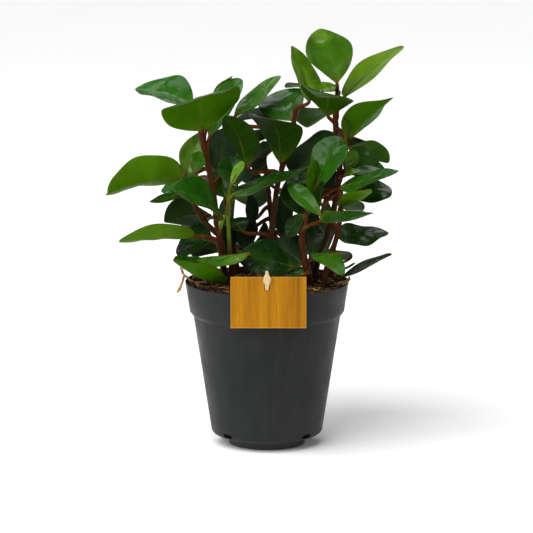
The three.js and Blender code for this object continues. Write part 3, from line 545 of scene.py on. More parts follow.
class Shader:
    """A material's node tree, with one short call for each kind of node."""

    def __init__(self, name, roughness=0.5, **values):
        self.material = bpy.data.materials.new(name)
        self.material.use_nodes = True
        self.tree = self.material.node_tree
        self.surface = self.tree.nodes["Principled BSDF"]
        self.surface.inputs["Roughness"].default_value = roughness
        for socket, value in values.items():
            self.surface.inputs[socket.replace("_", " ")].default_value = value
        self.point = self.node("TexCoord").outputs["Object"]  # metres, in the part's frame

    def node(self, kind, settings=(), **inputs):
        made = self.tree.nodes.new("ShaderNode" + kind)
        for key, value in dict(settings).items():
            setattr(made, key, value)
        for key, value in inputs.items():
            self.feed(made.inputs[key.replace("_", " ")], value)
        return made

    def feed(self, socket, value):
        if isinstance(value, bpy.types.NodeSocket):
            self.tree.links.new(value, socket)
        else:
            socket.default_value = value

    def attribute(self, name):
        return self.node("Attribute", {"attribute_name": name})

    def parts(self, vector):
        return tuple(self.node("SeparateXYZ", Vector=vector).outputs)

    def noise(self, scale, detail=3.0, roughness=0.55, distortion=0.0, squeeze=None):
        """squeeze: what each axis is multiplied by first, so less than 1 draws the noise out along it."""
        point = self.point
        if squeeze:
            point = self.node("Mapping", Vector=point, Scale=squeeze).outputs[0]
        made = self.node("TexNoise", Vector=point, Scale=scale, Detail=detail, Roughness=roughness,
                         Distortion=distortion)
        return made.outputs["Fac"]

    def math(self, operation, first, second=0.0, third=0.0):
        made = self.tree.nodes.new("ShaderNodeMath")
        made.operation = operation
        for socket, value in zip(made.inputs, (first, second, third)):
            self.feed(socket, value)
        return made.outputs[0]

    def times(self, first, second):
        return self.math("MULTIPLY", first, second)

    def between(self, value, low, high, start=0.0, end=1.0):
        """From start, where the value is low, smoothly to end, where it is high."""
        made = self.node("MapRange", {"interpolation_type": "SMOOTHSTEP"}, Value=value)
        for key, number in zip(("From Min", "From Max", "To Min", "To Max"), (low, high, start, end)):
            self.feed(made.inputs[key], number)
        return made.outputs[0]

    def ramp(self, value, stops):
        made = self.node("ValToRGB", Fac=value)
        elements = made.color_ramp.elements
        while len(elements) < len(stops):
            elements.new(0.5)
        for element, (position, colour) in zip(elements, stops):
            element.position = position
            element.color = (*colour, 1)
        return made.outputs[0]

    def mix(self, share, first, second, blend="MIX"):
        made = self.tree.nodes.new("ShaderNodeMix")
        made.data_type = "RGBA"
        made.blend_type = blend
        self.feed(made.inputs[0], share)
        for socket, value in ((made.inputs[6], first), (made.inputs[7], second)):
            self.feed(socket, value if isinstance(value, bpy.types.NodeSocket) else (*value, 1))
        return made.outputs[2]

    def brightened(self, colour, low, high, amount):
        """The colour times low to high, as amount goes from 0 to 1."""
        factor = self.between(amount, 0.25, 0.75, low, high)
        return self.node("HueSaturation", Color=colour, Value=factor).outputs[0]

    def finish(self, colour, rough=None, height=None, strength=0.3, distance=0.0005, swell=None):
        """swell: a broad bump that lies under the one that height gives."""
        self.feed(self.surface.inputs["Base Color"], colour)
        if rough is not None:
            self.feed(self.surface.inputs["Roughness"], rough)
        if height is not None:
            bump = self.node("Bump", Height=height, Strength=strength, Distance=distance)
            if swell:
                self.feed(bump.inputs["Normal"], swell.outputs[0])
            self.feed(self.surface.inputs["Normal"], bump.outputs[0])
        return self.material


# ---- materials ----

MARGIN_RED = (0.045, 0.012, 0.008)
MARGIN_WIDTH = 0.5
VEIN_PHASE = 38.0  # radians that the veins' wave runs through along a blade, whatever its size
VEIN_SLOPE = 0.24
FOOT_PAINTED_LIGHT = [8.5, 6.5]  # going down, the pot's foot is painted lighter between these heights: painted light on a foot that sits in shade
CARD_BAND = 22.5  # from the middle of the pot
CARD_BAND_HALF_WIDTH = [1.6, 0.3]
CARD_EDGE = [0.7, 0.1]  # the pale edge, from the card's own edge


def blade_pattern(shader):
    """What both faces use: the way along the blade, its shade, its veins, its midrib and its margin."""
    along, across, shade = shader.parts(shader.attribute("mark").outputs["Vector"])
    away = shader.math("ABSOLUTE", across)
    slanted = shader.math("SUBTRACT", along, shader.times(away, VEIN_SLOPE))
    wave = shader.math("SINE", shader.times(slanted, VEIN_PHASE))
    veins = shader.between(wave, 0.75, 1.0)
    veins = shader.times(veins, shader.between(away, 0.95, 0.5))
    midrib = shader.times(shader.between(away, 0.085, 0.02), shader.between(along, 1.0, 0.5))
    margin = shader.between(shader.attribute("rim").outputs["Fac"], MARGIN_WIDTH, MARGIN_WIDTH * 0.3)
    return along, shade, veins, midrib, margin


def leaf_upper():
    shader = Shader("leaf_upper", 0.25, Subsurface_Weight=0.1, Subsurface_Scale=0.0012,
                    Subsurface_Radius=(0.5, 1.0, 0.2), IOR=1.45, Specular_IOR_Level=0.22)
    along, shade, veins, midrib, margin = blade_pattern(shader)
    cloud = shader.noise(55.0, 3.0)
    # The blade's colour follows its shade, which holds painted shade and painted sheen as well as its age.
    colour = shader.ramp(shade, [
        (0.0, (0.004, 0.017, 0.003)),
        (0.25, (0.007, 0.034, 0.002)),
        (0.5, (0.015, 0.088, 0.003)),
        (0.75, (0.045, 0.125, 0.002)),
        (1.0, (0.11, 0.25, 0.006)),
    ])
    colour = shader.brightened(colour, 0.8, 1.25, cloud)
    light = shader.mix(0.35, colour, (0.12, 0.24, 0.02))
    colour = shader.mix(shader.times(veins, 0.12), colour, light)
    # Light patches on young upper faces: partly the leaf's own mottling, partly painted sheen and painted
    # light shining through the blade.
    mottle_and_sheen = shader.between(shader.noise(48.0, 1.0, 0.4, 0.5), 0.42, 0.72)
    mottle_and_sheen = shader.times(mottle_and_sheen, shader.between(shade, 0.52, 0.74, 0.06, 0.62))
    colour = shader.mix(mottle_and_sheen, colour, (0.15, 0.28, 0.025))
    midrib_share = shader.times(midrib, shader.between(shade, 0.2, 0.7, 0.2, 0.5))
    colour = shader.mix(midrib_share, colour, light)
    colour = shader.mix(shader.between(along, 0.16, 0.0, 0.0, 0.5), colour, (0.07, 0.15, 0.006))
    colour = shader.mix(shader.times(margin, 0.85), colour, MARGIN_RED)
    rough = shader.between(shader.noise(90.0, 2.0), 0.3, 0.7, 0.17, 0.3)
    rough = shader.math("MAXIMUM", rough, shader.between(shade, 0.05, 0.1, 0.7, 0.0))
    puckers = shader.noise(60.0, 1.5, 0.4, 0.6)
    puckers = shader.times(puckers, shader.between(shade, 0.2, 0.8, 0.4, 1.0))
    swell = shader.node("Bump", Height=puckers, Strength=0.9, Distance=0.006)
    fine = shader.noise(1400.0, 2.0)
    height = shader.math("ADD", shader.times(fine, 0.05), shader.times(veins, -0.5))
    return shader.finish(colour, rough, height, 0.25, 0.0003, swell)


def leaf_under():
    shader = Shader("leaf_under", 0.45, Subsurface_Weight=0.2, Subsurface_Scale=0.0015,
                    Subsurface_Radius=(0.6, 1.0, 0.15), IOR=1.4, Specular_IOR_Level=0.03)
    along, shade, veins, midrib, margin = blade_pattern(shader)
    cloud = shader.noise(45.0, 3.0)
    # The blade's colour follows its shade, which holds painted shade and painted sheen as well as its age.
    colour = shader.ramp(shade, [
        (0.0, (0.005, 0.015, 0.001)),
        (0.25, (0.014, 0.045, 0.001)),
        (0.5, (0.04, 0.125, 0.001)),
        (0.75, (0.09, 0.2, 0.003)),
        (1.0, (0.19, 0.37, 0.01)),
    ])
    colour = shader.brightened(colour, 0.85, 1.15, cloud)
    light = shader.mix(0.4, colour, (0.15, 0.27, 0.02))
    colour = shader.mix(shader.times(veins, 0.1), colour, light)
    midrib_share = shader.times(midrib, shader.between(shade, 0.2, 0.7, 0.15, 0.4))
    colour = shader.mix(midrib_share, colour, light)
    colour = shader.mix(shader.between(along, 0.2, 0.0, 0.0, 0.45), colour, (0.1, 0.18, 0.006))
    colour = shader.mix(shader.times(margin, 0.75), colour, MARGIN_RED)
    fine = shader.noise(1800.0, 2.0)
    height = shader.math("ADD", shader.times(fine, 0.3), shader.times(veins, 0.4))
    return shader.finish(colour, None, height, 0.3, 0.0003)


def bark():
    """Stems and stalks: brown at the soil, red-brown above, and yellow-green where a stalk ends."""
    shader = Shader("stem_bark", 0.4, Subsurface_Weight=0.08, Subsurface_Scale=0.001,
                    Subsurface_Radius=(1.0, 0.4, 0.2), Specular_IOR_Level=0.06)
    ripe, young, shade = shader.parts(shader.attribute("mark").outputs["Vector"])
    colour = shader.ramp(shader.math("MULTIPLY_ADD", ripe, 0.25, 0.5), [
        (0.0, (0.026, 0.01, 0.003)),
        (0.22, (0.064, 0.018, 0.004)),
        (0.5, (0.082, 0.018, 0.004)),
        (0.71, (0.11, 0.03, 0.006)),
        (0.78, (0.1, 0.12, 0.006)),
        (0.9, (0.07, 0.15, 0.005)),
    ])
    # The stalk's end and raised midrib darken with a dark leaf: partly age, and painted shade where the
    # leaf's shade is painted shade.
    dark = shader.between(shade, 0.5, 0.2, 0.0, 0.8)
    aged_and_shaded_rib = shader.times(shader.between(ripe, 0.9, 1.05), dark)
    colour = shader.mix(aged_and_shaded_rib, colour, (0.02, 0.055, 0.004))
    colour = shader.mix(shader.times(young, 0.85), colour, (0.075, 0.12, 0.008))
    streaks = shader.noise(420.0, 3.0, squeeze=(1.0, 1.0, 0.25))
    colour = shader.brightened(colour, 0.6, 1.35, streaks)
    green = shader.between(shader.noise(60.0, 2.0), 0.55, 0.75, 0.0, 0.35)
    colour = shader.mix(green, colour, (0.09, 0.1, 0.02))
    speck = shader.between(shader.noise(1100.0, 1.0), 0.66, 0.72, 0.0, 0.5)
    colour = shader.mix(speck, colour, (0.2, 0.11, 0.06))
    return shader.finish(colour, None, streaks, 0.5, 0.0004)


def pot_plastic():
    shader = Shader("pot_plastic", 0.45, IOR=1.48, Specular_IOR_Level=0.13)
    cloud = shader.noise(18.0, 4.0)
    colour = shader.ramp(cloud, [(0.3, (0.0145, 0.0155, 0.0158)), (0.7, (0.0205, 0.0215, 0.0215))])
    flow = shader.noise(160.0, 2.0, squeeze=(1.0, 1.0, 0.12))
    colour = shader.brightened(colour, 0.9, 1.12, flow)
    scuffs = shader.noise(260.0, 5.0, 0.7, squeeze=(1.0, 1.0, 0.3))
    scuffs = shader.between(scuffs, 0.64, 0.74, 0.0, 0.22)
    colour = shader.mix(scuffs, colour, (0.12, 0.12, 0.115))
    # Painted light: the foot, which sits in shade, is drawn lighter towards the bottom.
    low = shader.between(shader.parts(shader.point)[2], FOOT_PAINTED_LIGHT[0] * MM, FOOT_PAINTED_LIGHT[1] * MM)
    colour = shader.mix(shader.times(low, 0.75), colour, (0.06, 0.061, 0.06))
    rough = shader.between(shader.noise(70.0, 4.0), 0.3, 0.7, 0.38, 0.54)
    fine = shader.noise(2600.0, 2.0)
    height = shader.math("MULTIPLY_ADD", flow, 0.6, shader.times(fine, 0.4))
    return shader.finish(colour, rough, height, 0.16, 0.0004)


def peat():
    shader = Shader("peat", 1.0, Specular_IOR_Level=0.2)
    lumps = shader.noise(180.0, 6.0, 0.7)
    colour = shader.ramp(lumps, [
        (0.3, (0.008, 0.004, 0.002)),
        (0.48, (0.03, 0.015, 0.006)),
        (0.6, (0.075, 0.036, 0.012)),
        (0.74, (0.14, 0.076, 0.028)),
    ])
    return shader.finish(colour, None, lumps, 1.0, 0.0015)


def coir():
    shader = Shader("coir_fibre", 0.8, Specular_IOR_Level=0.25)
    tint = shader.noise(120.0, 2.0)
    colour = shader.ramp(tint, [
        (0.3, (0.17, 0.075, 0.022)),
        (0.5, (0.4, 0.215, 0.075)),
        (0.7, (0.58, 0.37, 0.16)),
    ])
    return shader.finish(colour, None, tint, 0.4, 0.0003)


def card_print():
    """An ochre print of upright wood grain, with pale cut edges."""
    shader = Shader("card_print", 0.5, IOR=1.45, Specular_IOR_Level=0.15)
    x, _, z = shader.parts(shader.point)
    grain = shader.noise(700.0, 4.0, 0.6, 0.3, squeeze=(1.0, 1.0, 0.06))
    bands = shader.noise(110.0, 2.0, squeeze=(1.0, 1.0, 0.03))
    colour = shader.ramp(bands, [
        (0.3, (0.31, 0.12, 0.001)),
        (0.5, (0.37, 0.15, 0.0015)),
        (0.7, (0.44, 0.19, 0.003)),
    ])
    colour = shader.brightened(colour, 0.76, 1.1, grain)
    streak = shader.math("ABSOLUTE", shader.math("SUBTRACT", x, CARD_BAND * MM))
    wander = shader.times(shader.math("SUBTRACT", bands, 0.5), 0.004)
    wide, narrow = [half * MM for half in CARD_BAND_HALF_WIDTH]
    streak = shader.between(shader.math("ADD", streak, wander), wide, narrow, 0.0, 0.55)
    colour = shader.mix(streak, colour, (0.19, 0.065, 0.003))
    middle = (CARD_LOW + CARD_HEIGHT / 2) * MM
    beside = shader.math("ABSOLUTE", shader.math("SUBTRACT", x, CARD_SIDE_SHIFT * MM))
    above = shader.math("ABSOLUTE", shader.math("SUBTRACT", z, middle))
    near_side = shader.between(beside, *[(CARD_WIDTH / 2 - edge) * MM for edge in CARD_EDGE])
    near_end = shader.between(above, *[(CARD_HEIGHT / 2 - edge) * MM for edge in CARD_EDGE])
    edge = shader.times(shader.math("MAXIMUM", near_side, near_end), 0.45)
    colour = shader.mix(edge, colour, (0.6, 0.34, 0.06))
    return shader.finish(colour, None, grain, 0.12, 0.0002)


def birch():
    shader = Shader("birch_wood", 0.6)
    grain = shader.noise(1500.0, 4.0, 0.6, 0.4, squeeze=(1.0, 0.12, 0.12))
    colour = shader.ramp(grain, [
        (0.3, (0.56, 0.38, 0.17)),
        (0.5, (0.74, 0.55, 0.3)),
        (0.7, (0.86, 0.71, 0.45)),
    ])
    return shader.finish(colour, None, grain, 0.35, 0.0003)


def paper_floor():
    shader = Shader("floor_paper", 0.85, Specular_IOR_Level=0.2)
    soft = shader.noise(3.0, 2.0)
    colour = shader.ramp(soft, [(0.3, (0.945, 0.945, 0.94)), (0.7, (0.96, 0.96, 0.955))])
    return shader.finish(colour)


# ---- pot ----

POT_HEIGHT = 121
RIM_RADIUS = 60
COLLAR_HEIGHT = 22
COLLAR_LOW_RADIUS = 56.6
COLLAR_STEP = 3
WALL_TOP_RADIUS = 54
WALL_LOW_RADIUS = 41
WALL_LOW_HEIGHT = 12
CORNER_RADIUS = 4
FLOOR_HEIGHT = 7.4
FOOT_RADIUS = 28
FOOT_FLARE = 1
WALL = 1.3
CLEAR = 0.3
POT_SIDES = 192
CORNER_STEPS = 8
DRAIN_COUNT = 4
DRAIN_WIDTH = 8
DRAIN_HEIGHT = 3
DRAIN_DEPTH = 8
DRAIN_RISE = 0.2
DRAIN_FIRST_ANGLE = math.pi / 4
EDGE_ROUND = 0.6
SHARP_ANGLE = math.radians(35)
AXIS = 0.01  # the radius at which the turned profile starts and ends
COLLAR_LOW = POT_HEIGHT - COLLAR_HEIGHT
WALL_TOP = COLLAR_LOW - COLLAR_STEP


def rounded(profile, radius, steps=4):
    """The profile with each inner corner turned into a small arc."""
    points = [np.array(p, float) for p in profile]
    smooth = [points[0]]
    for before, corner, after in zip(points, points[1:], points[2:]):
        to_before, to_after = before - corner, after - corner
        cut = min(radius, np.linalg.norm(to_before) * 0.45, np.linalg.norm(to_after) * 0.45)
        start, end = corner + unit(to_before) * cut, corner + unit(to_after) * cut
        for t in np.linspace(0, 1, steps):
            smooth.append((1 - t) ** 2 * start + 2 * t * (1 - t) * corner + t**2 * end)
    smooth.append(points[-1])
    return smooth


def pot_corner():
    turns = np.linspace(0, math.pi / 2, CORNER_STEPS)
    inner = WALL_LOW_RADIUS - CORNER_RADIUS
    rise = WALL_LOW_HEIGHT - FLOOR_HEIGHT
    return [[inner + CORNER_RADIUS * math.sin(t), WALL_LOW_HEIGHT - rise * math.cos(t)] for t in turns]


def pot_profile():
    floor_top = FLOOR_HEIGHT + WALL
    outside = [
        [AXIS, 0],
        [FOOT_RADIUS - 4, 0],
        [FOOT_RADIUS, 0],
        [FOOT_RADIUS + FOOT_FLARE, FLOOR_HEIGHT],
        *pot_corner(),
        [WALL_TOP_RADIUS, WALL_TOP],
        [COLLAR_LOW_RADIUS, COLLAR_LOW],
        [RIM_RADIUS, POT_HEIGHT],
    ]
    inside = [
        [RIM_RADIUS - WALL, POT_HEIGHT],
        [COLLAR_LOW_RADIUS - WALL, COLLAR_LOW],
        [WALL_TOP_RADIUS - WALL, WALL_TOP],
        [WALL_LOW_RADIUS - WALL, WALL_LOW_HEIGHT],
        [WALL_LOW_RADIUS - CORNER_RADIUS, floor_top],
        [FOOT_RADIUS - WALL, floor_top],
        [FOOT_RADIUS - WALL, WALL],
        [AXIS, WALL],
    ]
    return rounded([*outside, *inside], EDGE_ROUND)


def lathe_mesh(name, profile, sides):
    ring = circle(sides)
    points = np.concatenate([np.column_stack([r * ring, np.full(sides, z)]) for r, z in profile])
    mesh = bpy.data.meshes.new(name)
    mesh.from_pydata((points * MM).tolist(), [], ring_faces(len(profile), sides))
    return mesh


def box_object(name, size, centre, turn):
    corners = np.array([[x, y, z] for x in (-0.5, 0.5) for y in (-0.5, 0.5) for z in (-0.5, 0.5)])
    corners = corners * size + centre
    spin = np.array([[math.cos(turn), math.sin(turn), 0], [-math.sin(turn), math.cos(turn), 0], [0, 0, 1]])
    faces = [(0, 1, 3, 2), (4, 6, 7, 5), (0, 4, 5, 1), (2, 3, 7, 6), (0, 2, 6, 4), (1, 5, 7, 3)]
    mesh = bpy.data.meshes.new(name)
    mesh.from_pydata((corners @ spin * MM).tolist(), [], faces)
    return linked(name, mesh)


def applied(piece):
    """Replaces the piece's mesh by what its modifiers make of it, and drops them."""
    graph = bpy.context.evaluated_depsgraph_get()
    mesh = bpy.data.meshes.new_from_object(piece.evaluated_get(graph))
    piece.modifiers.clear()
    piece.data = mesh
    return mesh


def pot(material):
    piece = linked("nursery_pot", lathe_mesh("nursery_pot", pot_profile(), POT_SIDES))
    size = np.array([DRAIN_DEPTH, DRAIN_WIDTH, DRAIN_HEIGHT])
    centre = np.array([WALL_LOW_RADIUS, 0, FLOOR_HEIGHT + WALL + DRAIN_RISE + DRAIN_HEIGHT / 2])
    cutters = []
    for i in range(DRAIN_COUNT):
        cutter = box_object(f"cutter_{i}", size, centre, DRAIN_FIRST_ANGLE + 2 * math.pi * i / DRAIN_COUNT)
        cut = piece.modifiers.new("drain", "BOOLEAN")
        cut.operation = "DIFFERENCE"
        cut.object = cutter
        cutters.append(cutter)
    mesh = applied(piece)
    for cutter in cutters:
        bpy.data.objects.remove(cutter)
    mesh.polygons.foreach_set("use_smooth", [True] * len(mesh.polygons))
    mesh.set_sharp_from_angle(angle=SHARP_ANGLE)
    mesh.materials.clear()
    mesh.materials.append(material)
    return place(piece, "pot", "pot")


# ---- soil ----

SOIL_RELIEF = 1.5
SOIL_DOME = 2  # how much higher it is in the middle
LUMP_SIZE = 7
LUMP_RELIEF = 0.9
GRAIN_SIZE = 1.6
GRAIN_RELIEF = 0.5
SOIL_SIDES = 144
SOIL_RINGS = 56
CRUMB_ROWS = 5
CRUMB_SIDES = 7
CRUMB_STRETCH = [0.6, 1.3]
CRUMB_PUSH = [0.75, 1.25]  # what moves each of its points in or out
CRUMB_REACH = RIM_RADIUS - WALL - 3
CRUMB_COUNT = 620
CRUMB_LARGEST = 2.0
WALL_CRUMB_COUNT = 420  # heaped along the wall
WALL_CRUMB_SIZE = [0.9, 1.9]
WALL_CRUMB_REACH = RIM_RADIUS - WALL - 0.9
WALL_CRUMB_HEAP = 2.2  # how far the heap comes in from the wall
WALL_CRUMB_RISE = 3.4
FIBRE_COUNT = 200
FIBRE_RADIUS = [0.14, 0.34]
FIBRE_STEP = [2.0, 5.0]  # between the points that a fibre goes through
FIBRE_LIFT = [0.4, 2.6]
FIBRE_REACH = RIM_RADIUS - WALL - 8
WALL_FIBRE_COUNT = 50
WALL_FIBRE_REACH = RIM_RADIUS - WALL - 3.5
WALL_FIBRE_LIFT = [1.8, 4.2]
SOIL_SEED = 11


def soil_height(x, y):
    dome = SOIL_DOME * (1 - (x**2 + y**2) / RIM_RADIUS**2)
    lumps = math.sin(x * 0.31 + 1) * math.cos(y * 0.27) + math.sin(x * 0.17 - y * 0.23 + 2)
    return SOIL_TOP + dome + SOIL_RELIEF / 2 * lumps


def crumbly(x, y):
    """Height of the soil with its crumbs."""
    lumps = noise.fractal(Vector((x, y, 0)) / LUMP_SIZE, 0.6, 2.1, 5)
    grains = noise.cell(Vector((x, y, 3)) / GRAIN_SIZE) - 0.5
    return soil_height(x, y) + LUMP_RELIEF * lumps + GRAIN_RELIEF * grains


def inside(radius):
    """The radius of the soil where the pot's outside has this one."""
    return radius - WALL - CLEAR


def soil(material):
    floor_top = FLOOR_HEIGHT + WALL + CLEAR
    rise = (SOIL_TOP - COLLAR_LOW) / COLLAR_HEIGHT
    top_radius = inside(COLLAR_LOW_RADIUS + (RIM_RADIUS - COLLAR_LOW_RADIUS) * rise) - CLEAR
    sides = [
        [inside(FOOT_RADIUS), WALL + CLEAR],
        [inside(FOOT_RADIUS), floor_top],
        [WALL_LOW_RADIUS - CORNER_RADIUS - CLEAR, floor_top],
        [inside(WALL_LOW_RADIUS), WALL_LOW_HEIGHT + CLEAR],
        [inside(WALL_TOP_RADIUS), WALL_TOP + CLEAR],
        [inside(COLLAR_LOW_RADIUS), COLLAR_LOW + CLEAR],
    ]
    ring = circle(SOIL_SIDES)
    rings = [np.column_stack([r * ring, np.full(SOIL_SIDES, z)]) for r, z in sides]
    for i in range(SOIL_RINGS):
        flat = ring * top_radius * (1 - i / SOIL_RINGS)
        rings.append(np.column_stack([flat, [crumbly(x, y) for x, y in flat]]))
    shells = Shells()
    shells.add_plain(rings)
    return shells.build("peat_soil", [material], "soil", "soil")


def add_crumb(shells, centre, size, rng):
    """A small lump: a few rings of a ball, pushed about."""
    rings = []
    stretch = rng.uniform(*CRUMB_STRETCH, 3)
    for i in range(CRUMB_ROWS):
        polar = math.pi * (i + 0.35) / (CRUMB_ROWS - 0.3)
        turns = 2 * math.pi * (np.arange(CRUMB_SIDES) + 0.5 * (i % 2)) / CRUMB_SIDES
        ball = np.stack([math.sin(polar) * np.cos(turns), math.sin(polar) * np.sin(turns),
                         np.full(CRUMB_SIDES, -math.cos(polar))], axis=1)
        rings.append(centre + ball * stretch * size * rng.uniform(*CRUMB_PUSH, (CRUMB_SIDES, 1)))
    shells.add_plain(rings)


def soil_spot(rng, reach):
    radius = reach * math.sqrt(rng.uniform(0, 1))
    turn = rng.uniform(0, 2 * math.pi)
    return radius * math.cos(turn), radius * math.sin(turn)


def crumbs(material):
    rng = np.random.default_rng(SOIL_SEED)
    shells = Shells()
    for _ in range(CRUMB_COUNT):
        x, y = soil_spot(rng, CRUMB_REACH)
        size = rng.uniform(0.5, 1.0) ** 2 * CRUMB_LARGEST
        add_crumb(shells, [x, y, crumbly(x, y) + 0.3 * size], size, rng)
    for _ in range(WALL_CRUMB_COUNT):
        size = rng.uniform(*WALL_CRUMB_SIZE)
        turn = rng.uniform(0, 2 * math.pi)
        radius = WALL_CRUMB_REACH - size - WALL_CRUMB_HEAP * rng.uniform(0, 1) ** 2
        x, y = radius * math.cos(turn), radius * math.sin(turn)
        add_crumb(shells, [x, y, soil_height(x, y) + rng.uniform(0, WALL_CRUMB_RISE)], size, rng)
    return shells.build("peat_crumbs", [material], "soil")


def add_fibre(shells, points, radius, sides=5, steps=10, ripe=0.0):
    """A thin tube with narrowed ends."""
    line = resampled(curve_through(points), steps)
    radii = radius * np.concatenate([[0.5], np.ones(steps - 2), [0.35]])
    shells.add_plain(tube_rings(line, radii, sides), ripe)


# Strands that hang over the rim, as points [u, v, y], with their radius.
STRANDS = [
    ([[-50, 117, -6], [-57, 122, -7], [-60, 124.5, -8], [-62.3, 119, -9], [-66, 111.5, -9]], 0.85),
    ([[-52, 118, -7], [-58, 123, -8], [-60.8, 125.2, -8.5], [-62, 119.5, -10], [-63.8, 113, -10]], 0.6),
    ([[-63.5, 131, -7], [-62, 127, -7], [-60.2, 124.3, -8]], 0.6),
    ([[-62.6, 133, -7.5], [-61.4, 128, -8], [-59.5, 123.5, -9]], 0.4),
    ([[-63, 126.6, -8], [-61, 125.6, -8], [-59, 123.5, -8], [-55.6, 120.8, -8]], 0.35),
    ([[-59, 125, -7], [-57, 122, -8], [-53, 120, -9]], 0.3),
    ([[-62.4, 119.5, -8.5], [-63.8, 117, -9.5], [-64.6, 114, -10]], 0.22),
    ([[52, 118.5, -9], [56, 120, -9], [59.2, 121.6, -9], [60.8, 124.2, -9]], 0.8),
    ([[55, 118, -11], [59, 119.8, -11], [61.2, 122.4, -10.5]], 0.55),
]

TWIG_RIPE = -2.0  # as dark as the foot of a stem

# Dry stubs that stick out behind the low stem's front leaf.
TWIGS = [
    ([[46.5, 130, -12], [54, 133.8, -11], [59.5, 136.4, -11], [62.6, 139, -11]], 0.95),
    ([[46.5, 126, -12], [55, 129.3, -11], [60, 131.4, -11], [64.6, 134.3, -11]], 0.85),
]


def fibres(material):
    rng = np.random.default_rng(SOIL_SEED + 1)
    shells = Shells()
    for i in range(FIBRE_COUNT + WALL_FIBRE_COUNT):
        x, y = soil_spot(rng, FIBRE_REACH)
        if i >= FIBRE_COUNT:
            out = WALL_FIBRE_REACH / math.hypot(x, y)
            x, y = x * out, y * out
        heading = rng.uniform(0, 2 * math.pi)
        step = rng.uniform(*FIBRE_STEP)
        points = []
        for _ in range(4):
            lift = rng.uniform(*(FIBRE_LIFT if i < FIBRE_COUNT else WALL_FIBRE_LIFT))
            points.append([x, y, crumbly(x, y) + lift])
            heading += rng.uniform(-0.9, 0.9)
            x, y = x + step * math.cos(heading), y + step * math.sin(heading)
            back = min(1, CRUMB_REACH / max(math.hypot(x, y), 1))
            x, y = x * back, y * back
        add_fibre(shells, points, rng.uniform(*FIBRE_RADIUS))
    for points, radius in STRANDS:
        add_fibre(shells, [seen(*p) for p in points], radius, 7, 18)
    return shells.build("coir_fibres", [material], "soil")


def twigs(material):
    shells = Shells()
    for points, radius in TWIGS:
        add_fibre(shells, [seen(*p) for p in points], radius, 9, 14, TWIG_RIPE)
    return shells.build("dry_twigs", [material], "plant")


# ---- card and peg ----

CARD_WIDTH = 54.4
CARD_HEIGHT = 37.5
CARD_THICK = 0.6
CARD_LOW = 98
CARD_BACK = -61
CARD_SIDE_SHIFT = 1
STAKE_THICK = 1.4
STAKE_HALF_WIDTH = 1.4
STAKE_HEAD_HALF_WIDTH = 2.7
STAKE_TIP = -36.5
STAKE_TIP_TOP = -30.5
STAKE_HEAD_LOW = 2
STAKE_HEAD_WIDEST = 7.5
STAKE_HEAD_SHOULDER = 15
STAKE_HEAD_TOP = 16.5
STAKE_LEAN = math.radians(33)
STAKE_CROSSING = 127.5
STAKE_SIDES = 20
STAKE_SQUARENESS = 0.6  # the lower, the squarer across


def peg_half(length):
    """Half width of the peg, by the distance along it from the card."""
    stops = [STAKE_TIP, STAKE_TIP_TOP, STAKE_HEAD_LOW, STAKE_HEAD_WIDEST, STAKE_HEAD_SHOULDER,
             STAKE_HEAD_TOP]
    halves = [0.15, STAKE_HALF_WIDTH, STAKE_HALF_WIDTH, STAKE_HEAD_HALF_WIDTH, STAKE_HALF_WIDTH * 0.8,
              0.2]
    for low, high, a, b in zip(stops, stops[1:], halves, halves[1:]):
        if length <= high:
            t = (length - low) / (high - low)
            if high == STAKE_HEAD_TOP:
                return b + (a - b) * math.sqrt(max(1 - t**2, 0))
            return a + (b - a) * t * t * (3 - 2 * t)
    return halves[-1]


def peg(material):
    lengths = np.concatenate([np.linspace(STAKE_TIP, STAKE_HEAD_LOW, 18, endpoint=False),
                              STAKE_HEAD_LOW + (STAKE_HEAD_TOP - STAKE_HEAD_LOW)
                              * np.sin(np.linspace(0, math.pi / 2, 36))])
    turns = turns_of(STAKE_SIDES)
    lean = np.array([0, -math.sin(STAKE_LEAN), math.cos(STAKE_LEAN)])
    front = np.array([0, -math.cos(STAKE_LEAN), -math.sin(STAKE_LEAN)])
    crossing = np.array([0, CARD_BACK - CARD_THICK / 2, STAKE_CROSSING])
    rings = []
    for length in lengths:
        half = peg_half(length)
        deep = min(STAKE_THICK / 2, half)
        wide = np.sign(np.cos(turns)) * np.abs(np.cos(turns)) ** STAKE_SQUARENESS * half
        thick = np.sign(np.sin(turns)) * np.abs(np.sin(turns)) ** STAKE_SQUARENESS * deep
        rings.append(crossing + length * lean + np.outer(wide, [1, 0, 0]) + np.outer(thick, front))
    shells = Shells()
    shells.add_plain(rings)
    return shells.build("wooden_peg", [material], "stake", "label_stake")


def card(material):
    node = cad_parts["label_card"]
    node.data.materials.clear()
    node.data.materials.append(material)


# ---- stage ----


PAPER_HALF = 40.0  # metres
LIGHT_AIM = (0, 0, 0.15)


def floor(material):
    mesh = bpy.data.meshes.new("floor")
    corners = [(x * PAPER_HALF, y * PAPER_HALF, 0) for x, y in ((-1, -1), (1, -1), (1, 1), (-1, 1))]
    mesh.from_pydata(corners, [], [(0, 1, 2, 3)])
    mesh.materials.append(material)
    piece = linked("floor", mesh)


def aimed(data, name, place_at):
    lamp = linked(name, data)
    lamp.location = place_at
    lamp.rotation_euler = (Vector(LIGHT_AIM) - Vector(place_at)).to_track_quat("-Z", "Y").to_euler()
    return lamp


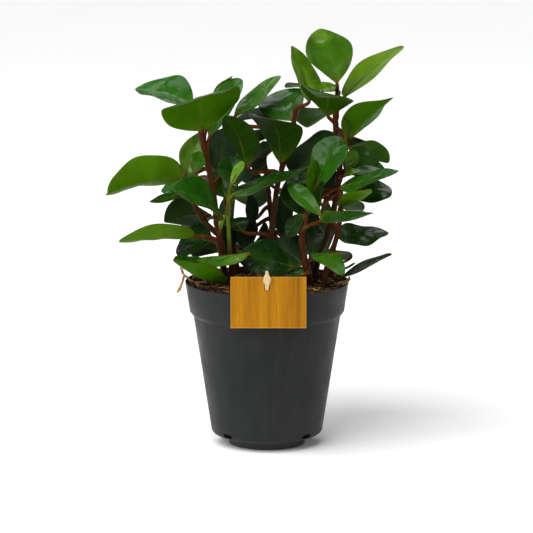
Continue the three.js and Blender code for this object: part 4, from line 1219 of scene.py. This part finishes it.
def softbox(name, place_at, size, watts):
    data = bpy.data.lights.new(name, "AREA")
    data.shape = "RECTANGLE"
    data.size, data.size_y = size
    data.energy = watts
    aimed(data, name, place_at).visible_camera = False


def distant(name, place_at, spread, strength):
    data = bpy.data.lights.new(name, "SUN")
    data.angle = math.radians(spread)
    data.energy = strength
    aimed(data, name, place_at)


def studio():
    world = bpy.data.worlds.new("studio")
    world.use_nodes = True
    background = world.node_tree.nodes["Background"].inputs
    background["Color"].default_value = (1, 1, 1, 1)
    background["Strength"].default_value = 0.14
    bpy.context.scene.world = world
    distant("key", place_at=(-0.6, -0.8, 1.3), spread=60, strength=3.5)
    distant("fill", place_at=(0.9, -1.0, 0.5), spread=60, strength=0.5)
    softbox("top", place_at=(-0.2, 0.9, 1.3), size=(1.4, 0.6), watts=7.5)
    softbox("left", place_at=(-1.2, 0.0, 0.35), size=(0.3, 1.0), watts=4)
    softbox("right", place_at=(1.2, 0.1, 0.35), size=(0.3, 1.0), watts=2.5)
    bpy.context.scene.view_settings.view_transform = "Standard"


def camera():
    eye = Vector((EYE_ACROSS, -EYE_DISTANCE, EYE_HEIGHT)) * MM
    aim = Vector((EYE_ACROSS, 0, AIM_HEIGHT)) * MM
    data = bpy.data.cameras.new("camera")
    data.sensor_width = SENSOR
    data.lens = PIXELS_PER_MM * (aim - eye).length / MM / PICTURE_SIDE * SENSOR
    data.clip_start = 0.1
    data.clip_end = 50
    made = linked("camera", data)
    made.location = eye
    made.rotation_euler = (aim - eye).to_track_quat("-Z", "Y").to_euler()
    bpy.context.scene.camera = made


# ---- assembly ----

camera()
studio()
floor(paper_floor())
pot(pot_plastic())
soil_material = peat()
soil(soil_material)
crumbs(soil_material)
fibres(coir())
leaf_rng = np.random.default_rng(BLADE_SEED)
plant_materials = [leaf_upper(), leaf_under(), bark()]
for stem_name, stem_limbs in STEMS.items():
    leafy_stem(stem_name, stem_limbs, plant_materials, leaf_rng)
twigs(plant_materials[BARK])
card(card_print())
peg(birch())
